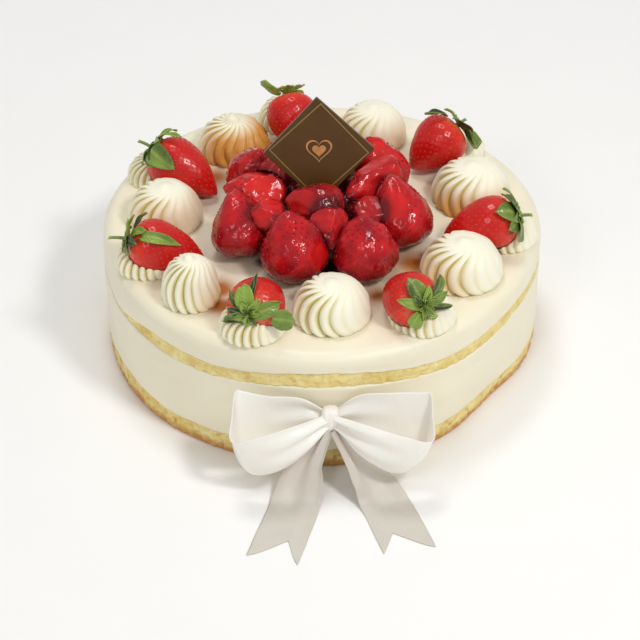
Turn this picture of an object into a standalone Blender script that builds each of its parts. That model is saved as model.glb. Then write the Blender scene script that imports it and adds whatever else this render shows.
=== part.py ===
"""Strawberry shortcake with piped rosettes, whole berries, a glazed heap, a plaque and a bow.

The origin is the middle of the cake's base, +Z is up and the bow is at the front, towards -Y.
All lengths are in metres and all angles in degrees.
"""

import math
from typing import NamedTuple

import bmesh
import bpy
from mathutils import Matrix, Vector

OBJECT_NAME = "strawberry_shortcake"
GAP = 0.0003  # room left between pieces that touch

# The cake: two sponges and two bands of cream
CAKE_RADIUS = 0.0980
CAKE_HEIGHT = 0.0600
BASE_HEIGHT = 0.0098
BAND_BOTTOM = 0.0424
BAND_DEPTH = 0.0062
LEVEL_RADIUS = 0.0800  # inside it the layers lie level
RIM_ROUND = 0.0060
FOOT_ROUND = 0.0012
CAKE_SEGMENTS = 48
SIDE_WAVE = 0.0006
FOOT_DENT = 0.0065  # the foot draws in on the right of the front
FOOT_DENT_ANGLE = -37
FOOT_DENT_SPREAD = 17
BAND_WAVE = 0.0019  # the middle sponge rises and falls five times round the cake
BAND_WAVES = 5
BAND_CREST_ANGLE = -90
SMEAR_ANGLE = -157  # here cream is smeared over the middle sponge
SMEAR_SPREAD = 14

# Piped swirls
RIDGES = 16
RIDGE_DEPTH = 0.15
RIDGE_TURN = 32  # the ridges bend round by this much from foot to peak
SWIRL_FULLNESS = 0.72
SWIRL_FOOT = 0.94

# Berries
CROWN_POWER = 0.36
TIP_POWER = 0.78
BERRY_SEGMENTS = 12
BERRY_RINGS = 8
DENT_ROOM = 0.0009  # kept between pieces where they press together
DENT_STEPS = 60
PRESS_ROOM = 0.0024  # kept between a berry and the rosette that it presses
BED_HEIGHT = 0.0013  # a berry presses its rosette down to this height at the most
BED_MARGIN = 0.0050

# Leaves of a crown
LEAF_THICKNESS = 0.0008
LEAF_GAP = 0.0014
LEAF_MIDDLE = 0.50
LEAF_FLANK = 0.80
LEAF_VALLEY = 0.34
LEAF_FLANK_ANGLE = 16
STEM_RADIUS = 0.0010
STEM_COLLAR = 0.0005  # the stem starts this far above the leaves
PROFILE_STEPS = 60

# Plaque
PLAQUE_SIDE = 0.0345
PLAQUE_THICKNESS = 0.0024
PLAQUE_BEVEL = 0.0003
PLAQUE_LEAN = 16
PLAQUE_ROLL = 2.2
PLAQUE_MARGIN = 0.0040
PLAQUE_CENTRE = Vector((-0.0012, -0.0013, 0.0985))

# Bow of satin ribbon
RIBBON_WIDTH = 0.0220
RIBBON_THICKNESS = 0.0008
KNOT_SIZE = Vector((0.0080, 0.0088, 0.0122))
KNOT_X = 0.0020
KNOT_Z = 0.0315
KNOT_BEVEL = 0.0022


class Swirl(NamedTuple):
    """A piped rosette: its place round the cake, its size and the turn of its ridges."""

    angle: float
    ring: float
    radius: float
    height: float
    turn: float


class Berry(NamedTuple):
    """A berry from its crown to its tip; thin is its height across over its breadth."""

    crown: tuple
    tip: tuple
    radius: float
    thin: float = 1.0


class Leaf(NamedTuple):
    """A leaf of a crown: its direction round the stem, its length and how far its tip lifts."""

    angle: float
    length: float
    lift: float


class Station(NamedTuple):
    """A point of a ribbon's middle line, the share of its width that lies open there, and its lean."""

    x: float
    y: float
    z: float
    opening: float
    lean: float


BARE_SWIRLS = [
    Swirl(69.7, 0.0715, 0.0162, 0.0163, 3),
    Swirl(13.5, 0.0695, 0.0184, 0.0178, 8),
    Swirl(-34, 0.0725, 0.0184, 0.0170, 0),
    Swirl(-87.5, 0.0692, 0.0172, 0.0170, 5),
    Swirl(-135.6, 0.0800, 0.0130, 0.0205, 10),
    Swirl(178, 0.0700, 0.0172, 0.0172, 2),
    Swirl(124.5, 0.0705, 0.0172, 0.0150, 7),
]

PRESSED_SWIRLS = [
    Swirl(100, 0.0825, 0.0142, 0.0120, 4),
    Swirl(41, 0.0825, 0.0145, 0.0110, 9),
    Swirl(-9.5, 0.0825, 0.0142, 0.0105, 1),
    Swirl(-60, 0.0830, 0.0146, 0.0105, 6),
    Swirl(-111.5, 0.0835, 0.0146, 0.0105, 0),
    Swirl(-158, 0.0825, 0.0145, 0.0105, 3),
    Swirl(154, 0.0825, 0.0142, 0.0110, 8),
]

RING_BERRIES = [
    Berry((-0.0146, 0.0704, 0.0810), (-0.0099, 0.0510, 0.0640), 0.0115),
    Berry((0.0625, 0.0455, 0.0800), (0.0410, 0.0350, 0.0640), 0.0120),
    Berry((0.0845, -0.0188, 0.0745), (0.0535, -0.0180, 0.0645), 0.0118),
    Berry((0.0412, -0.0810, 0.0735), (0.0275, -0.0580, 0.0655), 0.0118),
    Berry((-0.0318, -0.0845, 0.0725), (-0.0228, -0.0580, 0.0655), 0.0122),
    Berry((-0.0835, -0.0325, 0.0740), (-0.0515, -0.0330, 0.0640), 0.0115),
    Berry((-0.0748, 0.0333, 0.0765), (-0.0470, 0.0165, 0.0635), 0.0121),
]

CROWN_LEAVES = [
    [Leaf(0, 0.009, 0.002), Leaf(55, 0.009, 0.003), Leaf(105, 0.010, 0.004),
     Leaf(155, 0.014, 0.006), Leaf(208, 0.009, 0.003)],
    [Leaf(-12, 0.010, 0.003), Leaf(38, 0.011, 0.003), Leaf(85, 0.012, 0.003),
     Leaf(133, 0.012, 0.002), Leaf(188, 0.009, 0.003)],
    [Leaf(-10, 0.009, 0.003), Leaf(38, 0.011, 0.002), Leaf(85, 0.012, 0.002),
     Leaf(132, 0.012, 0.003), Leaf(185, 0.010, 0.003)],
    [Leaf(-8, 0.010, 0.004), Leaf(46, 0.011, 0.003), Leaf(98, 0.012, 0.002),
     Leaf(154, 0.013, 0.002), Leaf(208, 0.011, 0.004)],
    [Leaf(-14, 0.014, 0.004), Leaf(36, 0.013, 0.002), Leaf(90, 0.011, 0.002),
     Leaf(144, 0.013, 0.002), Leaf(198, 0.010, 0.004)],
    [Leaf(-6, 0.010, 0.002), Leaf(40, 0.013, 0.002), Leaf(88, 0.011, 0.002),
     Leaf(134, 0.011, 0.003), Leaf(184, 0.009, 0.002)],
    [Leaf(-8, 0.011, 0.002), Leaf(42, 0.011, 0.003), Leaf(90, 0.012, 0.003),
     Leaf(140, 0.011, 0.004), Leaf(192, 0.009, 0.003)],
]
STEM_LENGTHS = [0.003, 0.004, 0.006, 0.008, 0.004, 0.008, 0.008]

HEAP_BERRIES = [
    Berry((-0.0108, -0.0425, 0.0610), (-0.0154, -0.0360, 0.0910), 0.0148),
    Berry((0.0192, -0.0415, 0.0608), (0.0164, -0.0370, 0.0892), 0.0140),
    Berry((-0.0348, -0.0290, 0.0620), (-0.0380, -0.0140, 0.0868), 0.0125),
    Berry((0.0385, -0.0232, 0.0625), (0.0290, -0.0045, 0.0882), 0.0132),
    Berry((0.0315, 0.0185, 0.0630), (0.0205, 0.0220, 0.0900), 0.0120),
    Berry((-0.0330, 0.0195, 0.0630), (-0.0275, 0.0140, 0.0890), 0.0115),
    Berry((0.0060, 0.0370, 0.0625), (0.0050, 0.0270, 0.0880), 0.0125),
    Berry((-0.0185, 0.0350, 0.0625), (-0.0150, 0.0250, 0.0840), 0.0105),
    Berry((0.0020, -0.0130, 0.0608), (0.0020, -0.0120, 0.0735), 0.0135),
    Berry((-0.0150, 0.0080, 0.0608), (-0.0130, 0.0080, 0.0730), 0.0130),
    Berry((0.0120, 0.0090, 0.0608), (0.0110, 0.0110, 0.0735), 0.0125),
    Berry((0.0090, -0.0178, 0.0785), (-0.0172, -0.0150, 0.0820), 0.0100),
    Berry((0.0020, -0.0245, 0.0830), (0.0040, -0.0405, 0.0735), 0.0088, 0.8),
    Berry((-0.0165, -0.0255, 0.0815), (-0.0345, -0.0245, 0.0795), 0.0078, 0.9),
    Berry((-0.0165, -0.0050, 0.0775), (-0.0440, 0.0000, 0.0785), 0.0102, 0.9),
    Berry((0.0335, 0.0105, 0.0825), (0.0105, -0.0120, 0.0805), 0.0086, 0.9),
    Berry((0.0270, -0.0195, 0.0775), (0.0108, -0.0175, 0.0790), 0.0072, 0.9),
    Berry((-0.0225, 0.0060, 0.0760), (-0.0150, 0.0040, 0.0930), 0.0080),
    Berry((0.0010, 0.0150, 0.0720), (0.0070, 0.0160, 0.0950), 0.0105),
]

LOOP_STATIONS = [
    Station(0.0045, -0.1018, 0.0318, 0.36, 4),
    Station(0.0180, -0.1012, 0.0325, 0.77, 6),
    Station(0.0350, -0.1010, 0.0318, 0.98, 12),
    Station(0.0435, -0.1055, 0.0312, 1.00, 20),
    Station(0.0400, -0.1140, 0.0275, 1.00, 16),
    Station(0.0290, -0.1205, 0.0240, 1.00, 6),
    Station(0.0150, -0.1150, 0.0280, 0.75, 4),
    Station(0.0045, -0.1068, 0.0310, 0.40, 2),
]
LOOP_REACH = {"right": 1.0, "left": -0.935}
LOOP_SAMPLES = 20

TAIL_STATIONS = {
    "left": [
        Station(-0.0014, -0.1065, 0.0240, 0.27, 0),
        Station(-0.0050, -0.1098, 0.0185, 0.56, 0),
        Station(-0.0088, -0.1130, 0.0120, 0.80, 0),
        Station(-0.0120, -0.1190, 0.0040, 0.93, 0),
        Station(-0.0148, -0.1290, 0.0010, 0.98, 0),
        Station(-0.0190, -0.1430, 0.0010, 1.00, 0),
        Station(-0.0231, -0.1570, 0.0010, 1.00, 0),
    ],
    "right": [
        Station(0.0056, -0.1065, 0.0240, 0.27, 0),
        Station(0.0108, -0.1095, 0.0180, 0.58, 0),
        Station(0.0165, -0.1130, 0.0105, 0.82, 0),
        Station(0.0218, -0.1180, 0.0036, 0.95, 0),
        Station(0.0258, -0.1260, 0.0010, 0.98, 0),
        Station(0.0300, -0.1390, 0.0010, 1.00, 0),
        Station(0.0344, -0.1532, 0.0010, 1.00, 0),
    ],
}
TAIL_SAMPLES = 14
TAIL_ENDS = {"left": (1.0, 0.85, 1.0), "right": (0.96, 0.85, 1.0)}  # how far each edge and the notch run
NOTCH_PLACE = {"left": 0.3, "right": -0.3}  # the notch is cut nearer the tail's inner edge


class Finish(NamedTuple):
    """Colour, roughness and metallic value of a plain material."""

    colour: tuple
    roughness: float
    metallic: float = 0.0


FINISHES = {
    "sponge": Finish((0.85, 0.60, 0.24), 0.9),
    "icing": Finish((0.90, 0.84, 0.70), 0.45),
    "piped_cream": Finish((0.90, 0.84, 0.64), 0.5),
    "berry": Finish((0.62, 0.02, 0.02), 0.3),
    "glazed_berry": Finish((0.42, 0.01, 0.015), 0.12),
    "leaf": Finish((0.12, 0.26, 0.05), 0.6),
    "chocolate": Finish((0.085, 0.045, 0.022), 0.35),
    "ribbon": Finish((0.86, 0.85, 0.82), 0.35),
}


def clear_scene():
    """Remove every object that the file opened with."""
    for thing in list(bpy.data.objects):
        bpy.data.objects.remove(thing, do_unlink=True)


def make_materials():
    """One Principled material for each finish."""
    materials = {}
    for name, finish in FINISHES.items():
        material = bpy.data.materials.new(name)
        material.use_nodes = True
        shader = material.node_tree.nodes["Principled BSDF"]
        shader.inputs["Base Color"].default_value = (*finish.colour, 1.0)
        shader.inputs["Roughness"].default_value = finish.roughness
        shader.inputs["Metallic"].default_value = finish.metallic
        materials[name] = material
    return materials


def add_object(name, mesh, material, collection, sharp=50):
    """Link a mesh as a named object with its material, shaded smooth up to an angle."""
    mesh.materials.append(material)
    mesh.shade_smooth()
    mesh.set_sharp_from_angle(angle=math.radians(sharp))
    thing = bpy.data.objects.new(name, mesh)
    collection.objects.link(thing)
    return thing


def mesh_of(points, faces):
    """A mesh of the given corners and faces."""
    mesh = bpy.data.meshes.new("shape")
    mesh.from_pydata([tuple(point) for point in points], [], faces)
    mesh.update()
    return mesh


def around(angle, radius, height):
    """The point at an angle in degrees, a radius and a height."""
    turn = math.radians(angle)
    return Vector((radius * math.cos(turn), radius * math.sin(turn), height))


def bump(angle, centre, spread):
    """A smooth hill of height 1 at an angle, falling off over a spread, all in degrees."""
    offset = (angle - centre + 180) % 360 - 180
    return math.exp(-((offset / spread) ** 2))


def side_radius(angle, height):
    """Radius of the cake's side: a little uneven, and drawn in at the foot on one side."""
    turn = math.radians(angle)
    wave = SIDE_WAVE * (math.sin(3 * turn + 0.4) + 0.6 * math.sin(7 * turn))
    dent = FOOT_DENT * bump(angle, FOOT_DENT_ANGLE, FOOT_DENT_SPREAD)
    return CAKE_RADIUS + wave - dent * (1 - height / CAKE_HEIGHT)


def base_top(angle):
    """Height at the side where the lower cream meets the bottom sponge."""
    turn = math.radians(angle)
    return BASE_HEIGHT + 0.0007 * math.sin(4 * turn) + 0.0005 * math.sin(9 * turn + 1)


def band_bottom(angle):
    """Height at the side of the middle sponge's lower edge."""
    wave = math.cos(math.radians(BAND_WAVES * (angle - BAND_CREST_ANGLE)))
    return BAND_BOTTOM + BAND_WAVE * wave - 0.003 * bump(angle, SMEAR_ANGLE, SMEAR_SPREAD)


def band_top(angle):
    """Height at the side of the middle sponge's upper edge."""
    depth = BAND_DEPTH + 0.0008 * math.sin(math.radians(7 * angle))
    return band_bottom(angle) + depth - 0.0050 * bump(angle, SMEAR_ANGLE, SMEAR_SPREAD)


def level_heights(height):
    """A height that is the same all round."""
    return lambda angle: height


def lifted(heights, amount):
    """A height function raised by an amount."""
    return lambda angle: heights(angle) + amount


def cake_ring(heights, inset=0.0):
    """Points round the cake's side at given heights, set in by an amount."""
    points = []
    for step in range(CAKE_SEGMENTS):
        angle = 360 * step / CAKE_SEGMENTS
        height = heights(angle)
        points.append(around(angle, side_radius(angle, height) - inset, height))
    return points


def level_ring(height):
    """Points round the level middle of a layer."""
    return [around(360 * step / CAKE_SEGMENTS, LEVEL_RADIUS, height) for step in range(CAKE_SEGMENTS)]


def loft(rings, low_cap, high_cap):
    """Join rings of equal length, from low to high, and close both ends.

    A cap is "flat" for one face over its ring, or a point for a fan of triangles. The layers
    that meet split their faces along the same diagonals, whichever way their rings run.
    """
    count = len(rings[0])
    points = [point for ring in rings for point in ring]
    faces = []
    for row in range(len(rings) - 1):
        outward = rings[row + 1][0].xy.length > rings[row][0].xy.length
        for step in range(count):
            here, after = row * count + step, row * count + (step + 1) % count
            if outward:
                faces.append((here, after, here + count))
                faces.append((after, after + count, here + count))
            else:
                faces.append((here, after, after + count))
                faces.append((here, after + count, here + count))
    last = (len(rings) - 1) * count
    if low_cap == "flat":
        faces.append(tuple(reversed(range(count))))
    else:
        points.append(low_cap)
        faces += [((step + 1) % count, step, len(points) - 1) for step in range(count)]
    if high_cap == "flat":
        faces.append(tuple(range(last, last + count)))
    else:
        points.append(high_cap)
        faces += [(last + step, last + (step + 1) % count, len(points) - 1) for step in range(count)]
    return mesh_of(points, faces)


def make_bottom_sponge(build):
    """The bottom sponge, flat below, with a small rounding round its foot."""
    mean_top = BASE_HEIGHT - GAP / 2
    rings = [
        cake_ring(level_heights(0.0), FOOT_ROUND),
        cake_ring(level_heights(FOOT_ROUND)),
        cake_ring(lifted(base_top, -GAP / 2)),
        level_ring(mean_top),
    ]
    build("bottom_sponge", loft(rings, "flat", "flat"), "sponge")


def make_lower_cream(build):
    """The thick band of cream between the sponges."""
    rings = [
        level_ring(BASE_HEIGHT + GAP / 2),
        cake_ring(lifted(base_top, GAP / 2)),
        cake_ring(lifted(band_bottom, -GAP / 2)),
        level_ring(BAND_BOTTOM - GAP / 2),
    ]
    build("lower_cream", loft(rings, "flat", "flat"), "icing")


def make_middle_sponge(build):
    """The thin wavy sponge that shows as a band near the top."""
    rings = [
        level_ring(BAND_BOTTOM + GAP / 2),
        cake_ring(lifted(band_bottom, GAP / 2)),
        cake_ring(lifted(band_top, -GAP / 2)),
        level_ring(BAND_BOTTOM + BAND_DEPTH - GAP / 2),
    ]
    build("middle_sponge", loft(rings, "flat", "flat"), "sponge")


def make_top_cream(build):
    """The icing over the top, with a rounded rim."""
    rings = [
        level_ring(BAND_BOTTOM + BAND_DEPTH + GAP / 2),
        cake_ring(lifted(band_top, GAP / 2)),
    ]
    for step in range(4):
        turn = math.radians(30 * step)
        height = CAKE_HEIGHT - RIM_ROUND * (1 - math.sin(turn))
        rings.append(cake_ring(level_heights(height), RIM_ROUND * (1 - math.cos(turn))))
    build("top_cream", loft(rings, "flat", "flat"), "icing")


def swirl_rings(swirl, levels):
    """Ridged rings of a rosette, one for each share of the way up its dome."""
    centre = around(swirl.angle, swirl.ring, CAKE_HEIGHT + GAP)
    rings = []
    for level in levels:
        rise = math.radians(90 * level)
        radius = swirl.radius * math.cos(rise) ** SWIRL_FULLNESS
        radius *= SWIRL_FOOT if level == 0 else 1
        turn = swirl.turn + RIDGE_TURN * level ** 1.4
        ring = []
        for step in range(2 * RIDGES):
            reach = radius * (1 - RIDGE_DEPTH * (step % 2))
            ring.append(centre + around(180 * step / RIDGES + turn, reach, swirl.height * math.sin(rise)))
        rings.append(ring)
    return rings, centre


def make_bare_swirl(build, name, swirl):
    """A whole rosette that ends in a small peak."""
    rings, centre = swirl_rings(swirl, (0, 0.18, 0.38, 0.58, 0.76, 0.91))
    peak = centre + Vector((0, 0, swirl.height * 1.06))
    build(name, loft(rings, "flat", peak), "piped_cream")


def dome_height(swirl, point, room):
    """Height over a point of a rosette's form, made larger all round by some room."""
    centre = around(swirl.angle, swirl.ring, 0)
    share = (point.xy - centre.xy).length / (swirl.radius + room)
    if share >= 1:
        return CAKE_HEIGHT
    rise = math.acos(share ** (1 / SWIRL_FULLNESS))
    return CAKE_HEIGHT + GAP + room + swirl.height * math.sin(rise)


def make_pressed_swirl(build, name, swirl, berry):
    """A rosette that a berry presses down: its top follows the berry's under side."""
    rings, centre = swirl_rings(swirl, (0, 0.22, 0.5, 0.78))
    top = centre + Vector((0, 0, swirl.height))
    bed = CAKE_HEIGHT + GAP + BED_HEIGHT
    for point in [*rings[1], *rings[2], *rings[3], top]:
        while point.z > bed and inside(berry, point, PRESS_ROOM):
            point.z -= 0.0003
    build(name, loft(rings, "flat", top), "piped_cream")


def profile(share):
    """Relative radius of a berry at a share of the way from crown to tip."""
    if share <= 0 or share >= 1:
        return 0.0
    widest = CROWN_POWER / (CROWN_POWER + TIP_POWER)
    return (share / widest) ** CROWN_POWER * ((1 - share) / (1 - widest)) ** TIP_POWER


def berry_frame(berry):
    """A berry's crown, its length and its three directions: along, right and up."""
    crown, tip = Vector(berry.crown), Vector(berry.tip)
    along = (tip - crown).normalized()
    right = along.cross(Vector((0, 0, 1))).normalized()
    up = right.cross(along)
    return crown, (tip - crown).length, along, right, up


def inside(berry, point, room):
    """Whether a point is within a berry's form, made larger all round by some room."""
    crown, length, along, right, up = berry_frame(berry)
    offset = point - crown
    share = (offset.dot(along) + room) / (length + 2 * room)
    if not 0 < share < 1:
        return False
    across = math.hypot(offset.dot(right), offset.dot(up) / berry.thin)
    return across < berry.radius * profile(share) + room


def past_plaque(point, middle):
    """Whether a point of a piece lies in the plaque or past it, seen from the piece's middle."""
    lean = math.radians(PLAQUE_LEAN)
    facing = Vector((0, -math.cos(lean), math.sin(lean)))
    upward = Vector((0, math.sin(lean), math.cos(lean)))
    offset = point - PLAQUE_CENTRE
    if abs(offset.x) + abs(offset.dot(upward)) > PLAQUE_SIDE / math.sqrt(2) + PLAQUE_MARGIN:
        return False
    side = 1 if (middle - PLAQUE_CENTRE).dot(facing) > 0 else -1
    return offset.dot(facing) * side < PLAQUE_THICKNESS / 2 + DENT_ROOM


def floor_under(point, bed):
    """The lowest height allowed at a point: the icing, or the rosette that serves as a bed."""
    if bed is None:
        return CAKE_HEIGHT + GAP
    centre = around(bed.angle, bed.ring, 0)
    if (point.xy - centre.xy).length > bed.radius + BED_MARGIN:
        return CAKE_HEIGHT + GAP
    return CAKE_HEIGHT + GAP + BED_HEIGHT + PRESS_ROOM


def dented(point, middle, neighbours):
    """Move a point towards the middle of its piece until it is clear of everything near."""
    for step in range(DENT_STEPS):
        moved = point.lerp(middle, step / DENT_STEPS)
        if past_plaque(moved, middle) or any(inside(other, moved, DENT_ROOM) for other in neighbours):
            continue
        if all(moved.z > dome_height(swirl, moved, DENT_ROOM) for swirl in BARE_SWIRLS):
            return moved
    return moved


def berry_mesh(berry, neighbours=(), bed=None):
    """A berry from a sphere, kept off the icing and dented where its neighbours press on it."""
    crown, length, along, right, up = berry_frame(berry)
    middle = crown + along * length * 0.45
    body = bmesh.new()
    bmesh.ops.create_uvsphere(body, u_segments=BERRY_SEGMENTS, v_segments=BERRY_RINGS, radius=1)
    for vert in body.verts:
        share = math.acos(max(-1.0, min(1.0, vert.co.z))) / math.pi
        spread = vert.co.xy.normalized() * berry.radius * profile(share)
        point = crown + along * length * share + right * spread.x + up * spread.y * berry.thin
        point.z = max(point.z, floor_under(point, bed))
        vert.co = dented(point, middle, neighbours)
    mesh = bpy.data.meshes.new("berry")
    body.to_mesh(mesh)
    body.free()
    face_outward(mesh)
    return mesh


def crown_path(berry, distance):
    """Share of the length and outward normal at a distance over the berry from its crown.

    Returns the share, the radius there, and the normal as its parts across and along.
    """
    length = berry_frame(berry)[1]
    walked, share, radius = 0.0, 0.0, 0.0
    for step in range(1, PROFILE_STEPS + 1):
        next_share = 0.6 * (step / PROFILE_STEPS) ** 2
        next_radius = berry.radius * profile(next_share)
        side, rise = length * (next_share - share), next_radius - radius
        stretch = math.hypot(side, rise)
        if walked + stretch >= distance:
            part = (distance - walked) / stretch
            return share + part * (next_share - share), radius + part * rise, side / stretch, -rise / stretch
        walked, share, radius = walked + stretch, next_share, next_radius
    return share, radius, 1.0, 0.0


def leaf_point(berry, angle, distance, lift):
    """A point of the sheet of leaves, above the berry's skin and clear of the rosettes."""
    crown, length, along, right, up = berry_frame(berry)
    share, radius, across, back = crown_path(berry, distance)
    outward = right * math.cos(math.radians(angle)) + up * math.sin(math.radians(angle))
    height = LEAF_GAP + LEAF_THICKNESS / 2 + lift
    point = crown + along * (length * share) + outward * radius
    point += (outward * across + along * back) * height
    room = LEAF_GAP + LEAF_THICKNESS / 2
    highest = max(dome_height(swirl, point, room) for swirl in BARE_SWIRLS + PRESSED_SWIRLS)
    point.z = max(point.z, highest)
    return point


def leaf_outline(leaves):
    """Angle, distance and lift of each point round a crown: valley, flank, tip, flank."""
    outline = []
    for index, leaf in enumerate(leaves):
        before = leaves[index - 1]
        gap = (leaf.angle - before.angle) % 360
        valley = LEAF_VALLEY * (leaf.length + before.length) / 2
        outline.append((leaf.angle - gap / 2, valley, 0.0))
        outline.append((leaf.angle - LEAF_FLANK_ANGLE, leaf.length * LEAF_FLANK, leaf.lift * 0.6))
        outline.append((leaf.angle, leaf.length, leaf.lift))
        outline.append((leaf.angle + LEAF_FLANK_ANGLE, leaf.length * LEAF_FLANK, leaf.lift * 0.6))
    return outline


def half_offsets(points, faces, outward):
    """Half the leaves' thickness at every point, square to the sheet and turned outward."""
    mesh = mesh_of(points, faces)
    normals = [normal.vector.copy() for normal in mesh.vertex_normals]
    bpy.data.meshes.remove(mesh)
    turn = 1 if normals[-1].dot(outward) > 0 else -1
    return [normal * turn * LEAF_THICKNESS / 2 for normal in normals]


def make_calyx(build, name, berry, leaves, stem_length):
    """The leaves over a berry's crown with the stem, as one thin wavy solid."""
    outline = leaf_outline(leaves)
    count = len(outline)
    sheet = []
    for share in (LEAF_MIDDLE, 1.0):
        for angle, reach, lift in outline:
            sheet.append(leaf_point(berry, angle, reach * share, lift * share ** 2))
    sheet.append(leaf_point(berry, 0, 0, 0))
    hub = 2 * count
    fan = [(hub, step, (step + 1) % count) for step in range(count)]
    blades = []
    for step in range(count):
        after = (step + 1) % count
        blades.append((step, count + step, count + after))
        blades.append((step, count + after, after))
    offsets = half_offsets(sheet, fan + blades, -berry_frame(berry)[2])
    points = [point - offset for point, offset in zip(sheet, offsets)]
    points += [point + offset for point, offset in zip(sheet[:hub], offsets)]
    over = hub + 1
    faces = [face[::-1] for face in fan + blades]
    faces += [tuple(corner + over for corner in face) for face in blades]
    for step in range(count):
        under_rim, after = count + step, count + (step + 1) % count
        faces.append((under_rim, after, after + over))
        faces.append((under_rim, after + over, under_rim + over))
    add_stem(points, faces, berry, over, len(leaves), stem_length)
    mesh = mesh_of(points, faces)
    face_outward(mesh)
    build(name, mesh, "leaf")


def add_stem(points, faces, berry, over_mid, leaf_count, stem_length):
    """Join a stem with one side for each leaf to the ring that runs through the leaves."""
    crown, length, along, right, up = berry_frame(berry)
    droop = Vector((0, 0, -0.25 * stem_length))
    first = len(points)
    foot = LEAF_GAP + LEAF_THICKNESS + STEM_COLLAR
    for lift, shift in ((foot, Vector()), (foot + stem_length, droop)):
        for side in range(leaf_count):
            guide = points[over_mid + 4 * side + 2] - crown
            spread = (guide - along * guide.dot(along)).normalized() * STEM_RADIUS
            points.append(crown - along * lift + spread + shift)
    count = 4 * leaf_count
    for side in range(leaf_count):
        after = (side + 1) % leaf_count
        low, low_after = first + side, first + after
        for step in range(4 * side + 2, 4 * side + 6):
            faces.append((low, over_mid + step % count, over_mid + (step + 1) % count))
        faces.append((low, over_mid + (4 * side + 6) % count, low_after))
        faces.append((low, low_after, low_after + leaf_count))
        faces.append((low, low_after + leaf_count, low + leaf_count))
    faces.append(tuple(range(first + leaf_count, first + 2 * leaf_count)))


def face_outward(mesh):
    """Turn a closed mesh's faces outward."""
    body = bmesh.new()
    body.from_mesh(mesh)
    bmesh.ops.recalc_face_normals(body, faces=body.faces)
    if body.calc_volume(signed=True) < 0:
        bmesh.ops.reverse_faces(body, faces=body.faces)
    body.to_mesh(mesh)
    body.free()


def make_ring_berries(build):
    """Seven whole berries, each with its crown of leaves, on a pressed rosette."""
    for index, (berry, swirl) in enumerate(zip(RING_BERRIES, PRESSED_SWIRLS)):
        build(f"berry_{index + 1}", berry_mesh(berry, bed=swirl), "berry")
        make_pressed_swirl(build, f"pressed_rosette_{index + 1}", swirl, berry)
        make_calyx(build, f"calyx_{index + 1}", berry, CROWN_LEAVES[index], STEM_LENGTHS[index])


def make_heap(build):
    """The heap in the middle: each berry is dented by those made before it."""
    for index, berry in enumerate(HEAP_BERRIES):
        earlier = HEAP_BERRIES[:index] + RING_BERRIES
        build(f"heap_berry_{index + 1}", berry_mesh(berry, earlier), "glazed_berry")


def box_mesh(size, turn=0):
    """A box about the origin, turned about the vertical."""
    body = bmesh.new()
    bmesh.ops.create_cube(body, size=1)
    bmesh.ops.scale(body, vec=size, verts=body.verts)
    bmesh.ops.rotate(body, matrix=Matrix.Rotation(math.radians(turn), 3, "Z"), verts=body.verts)
    mesh = bpy.data.meshes.new("box")
    body.to_mesh(mesh)
    body.free()
    return mesh


def make_plaque(build):
    """A thin square of chocolate that stands on one corner in the heap and leans back."""
    size = Vector((PLAQUE_SIDE, PLAQUE_SIDE, PLAQUE_THICKNESS))
    plaque = build("plaque", box_mesh(size, 45 + PLAQUE_ROLL), "chocolate")
    plaque.location = PLAQUE_CENTRE
    plaque.rotation_euler = (math.radians(90 - PLAQUE_LEAN), 0, 0)
    bevel = plaque.modifiers.new("edge", "BEVEL")
    bevel.width = PLAQUE_BEVEL
    bevel.segments = 1


def station_at(stations, share):
    """The station at a share of the way along a smooth curve through the given ones."""
    last = len(stations) - 1
    start = min(int(last * share), last - 1)
    part = last * share - start
    padded = [stations[0], *stations, stations[-1]]
    values = []
    for p0, p1, p2, p3 in zip(*padded[start:start + 4]):
        bend = 2 * p0 - 5 * p1 + 4 * p2 - p3
        twist = 3 * (p1 - p2) + p3 - p0
        values.append(0.5 * (2 * p1 + (p2 - p0) * part + bend * part ** 2 + twist * part ** 3))
    return Station(*values)


def ribbon_mesh(rows):
    """An open strip through rows of three points each."""
    points = [point for row in rows for point in row]
    faces = []
    for row in range(len(rows) - 1):
        for column in range(2):
            corner = 3 * row + column
            faces.append((corner, corner + 1, corner + 4, corner + 3))
    return mesh_of(points, faces)


def add_ribbon(build, name, rows):
    """A ribbon of even thickness from an open strip."""
    ribbon = build(name, ribbon_mesh(rows), "ribbon")
    thick = ribbon.modifiers.new("thickness", "SOLIDIFY")
    thick.thickness = RIBBON_THICKNESS
    thick.offset = 0
    return ribbon


def make_knot(build):
    """The small knot that holds the bow against the side of the cake."""
    knot = build("bow_knot", box_mesh(KNOT_SIZE), "ribbon")
    back = side_radius(-90, KNOT_Z) + SIDE_WAVE
    knot.location = (KNOT_X, -back - KNOT_SIZE.y / 2, KNOT_Z)
    bevel = knot.modifiers.new("soft_edge", "BEVEL")
    bevel.width = KNOT_BEVEL
    bevel.segments = 2


def make_loop(build, side):
    """One loop of the bow: out from the knot, round its end and back in front."""
    rows = []
    for step in range(LOOP_SAMPLES + 1):
        station = station_at(LOOP_STATIONS, step / LOOP_SAMPLES)
        middle = Vector((KNOT_X + LOOP_REACH[side] * station.x, station.y, station.z))
        lean = math.radians(station.lean)
        across = Vector((0, math.sin(lean), math.cos(lean))) * station.opening * RIBBON_WIDTH / 2
        rows.append([middle - across, middle, middle + across])
    add_ribbon(build, f"bow_loop_{side}", rows)


def tail_point(stations, share, place):
    """A point of a tail at a share of its length, its place across it from -1 to 1."""
    here = station_at(stations, share)
    behind, ahead = station_at(stations, max(share - 0.02, 0)), station_at(stations, min(share + 0.02, 1))
    run = Vector((ahead.x - behind.x, ahead.y - behind.y, 0)).normalized()
    across = Vector((-run.y, run.x, 0)) * here.opening * RIBBON_WIDTH / 2
    return Vector((here.x, here.y, here.z)) + across * place


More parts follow.
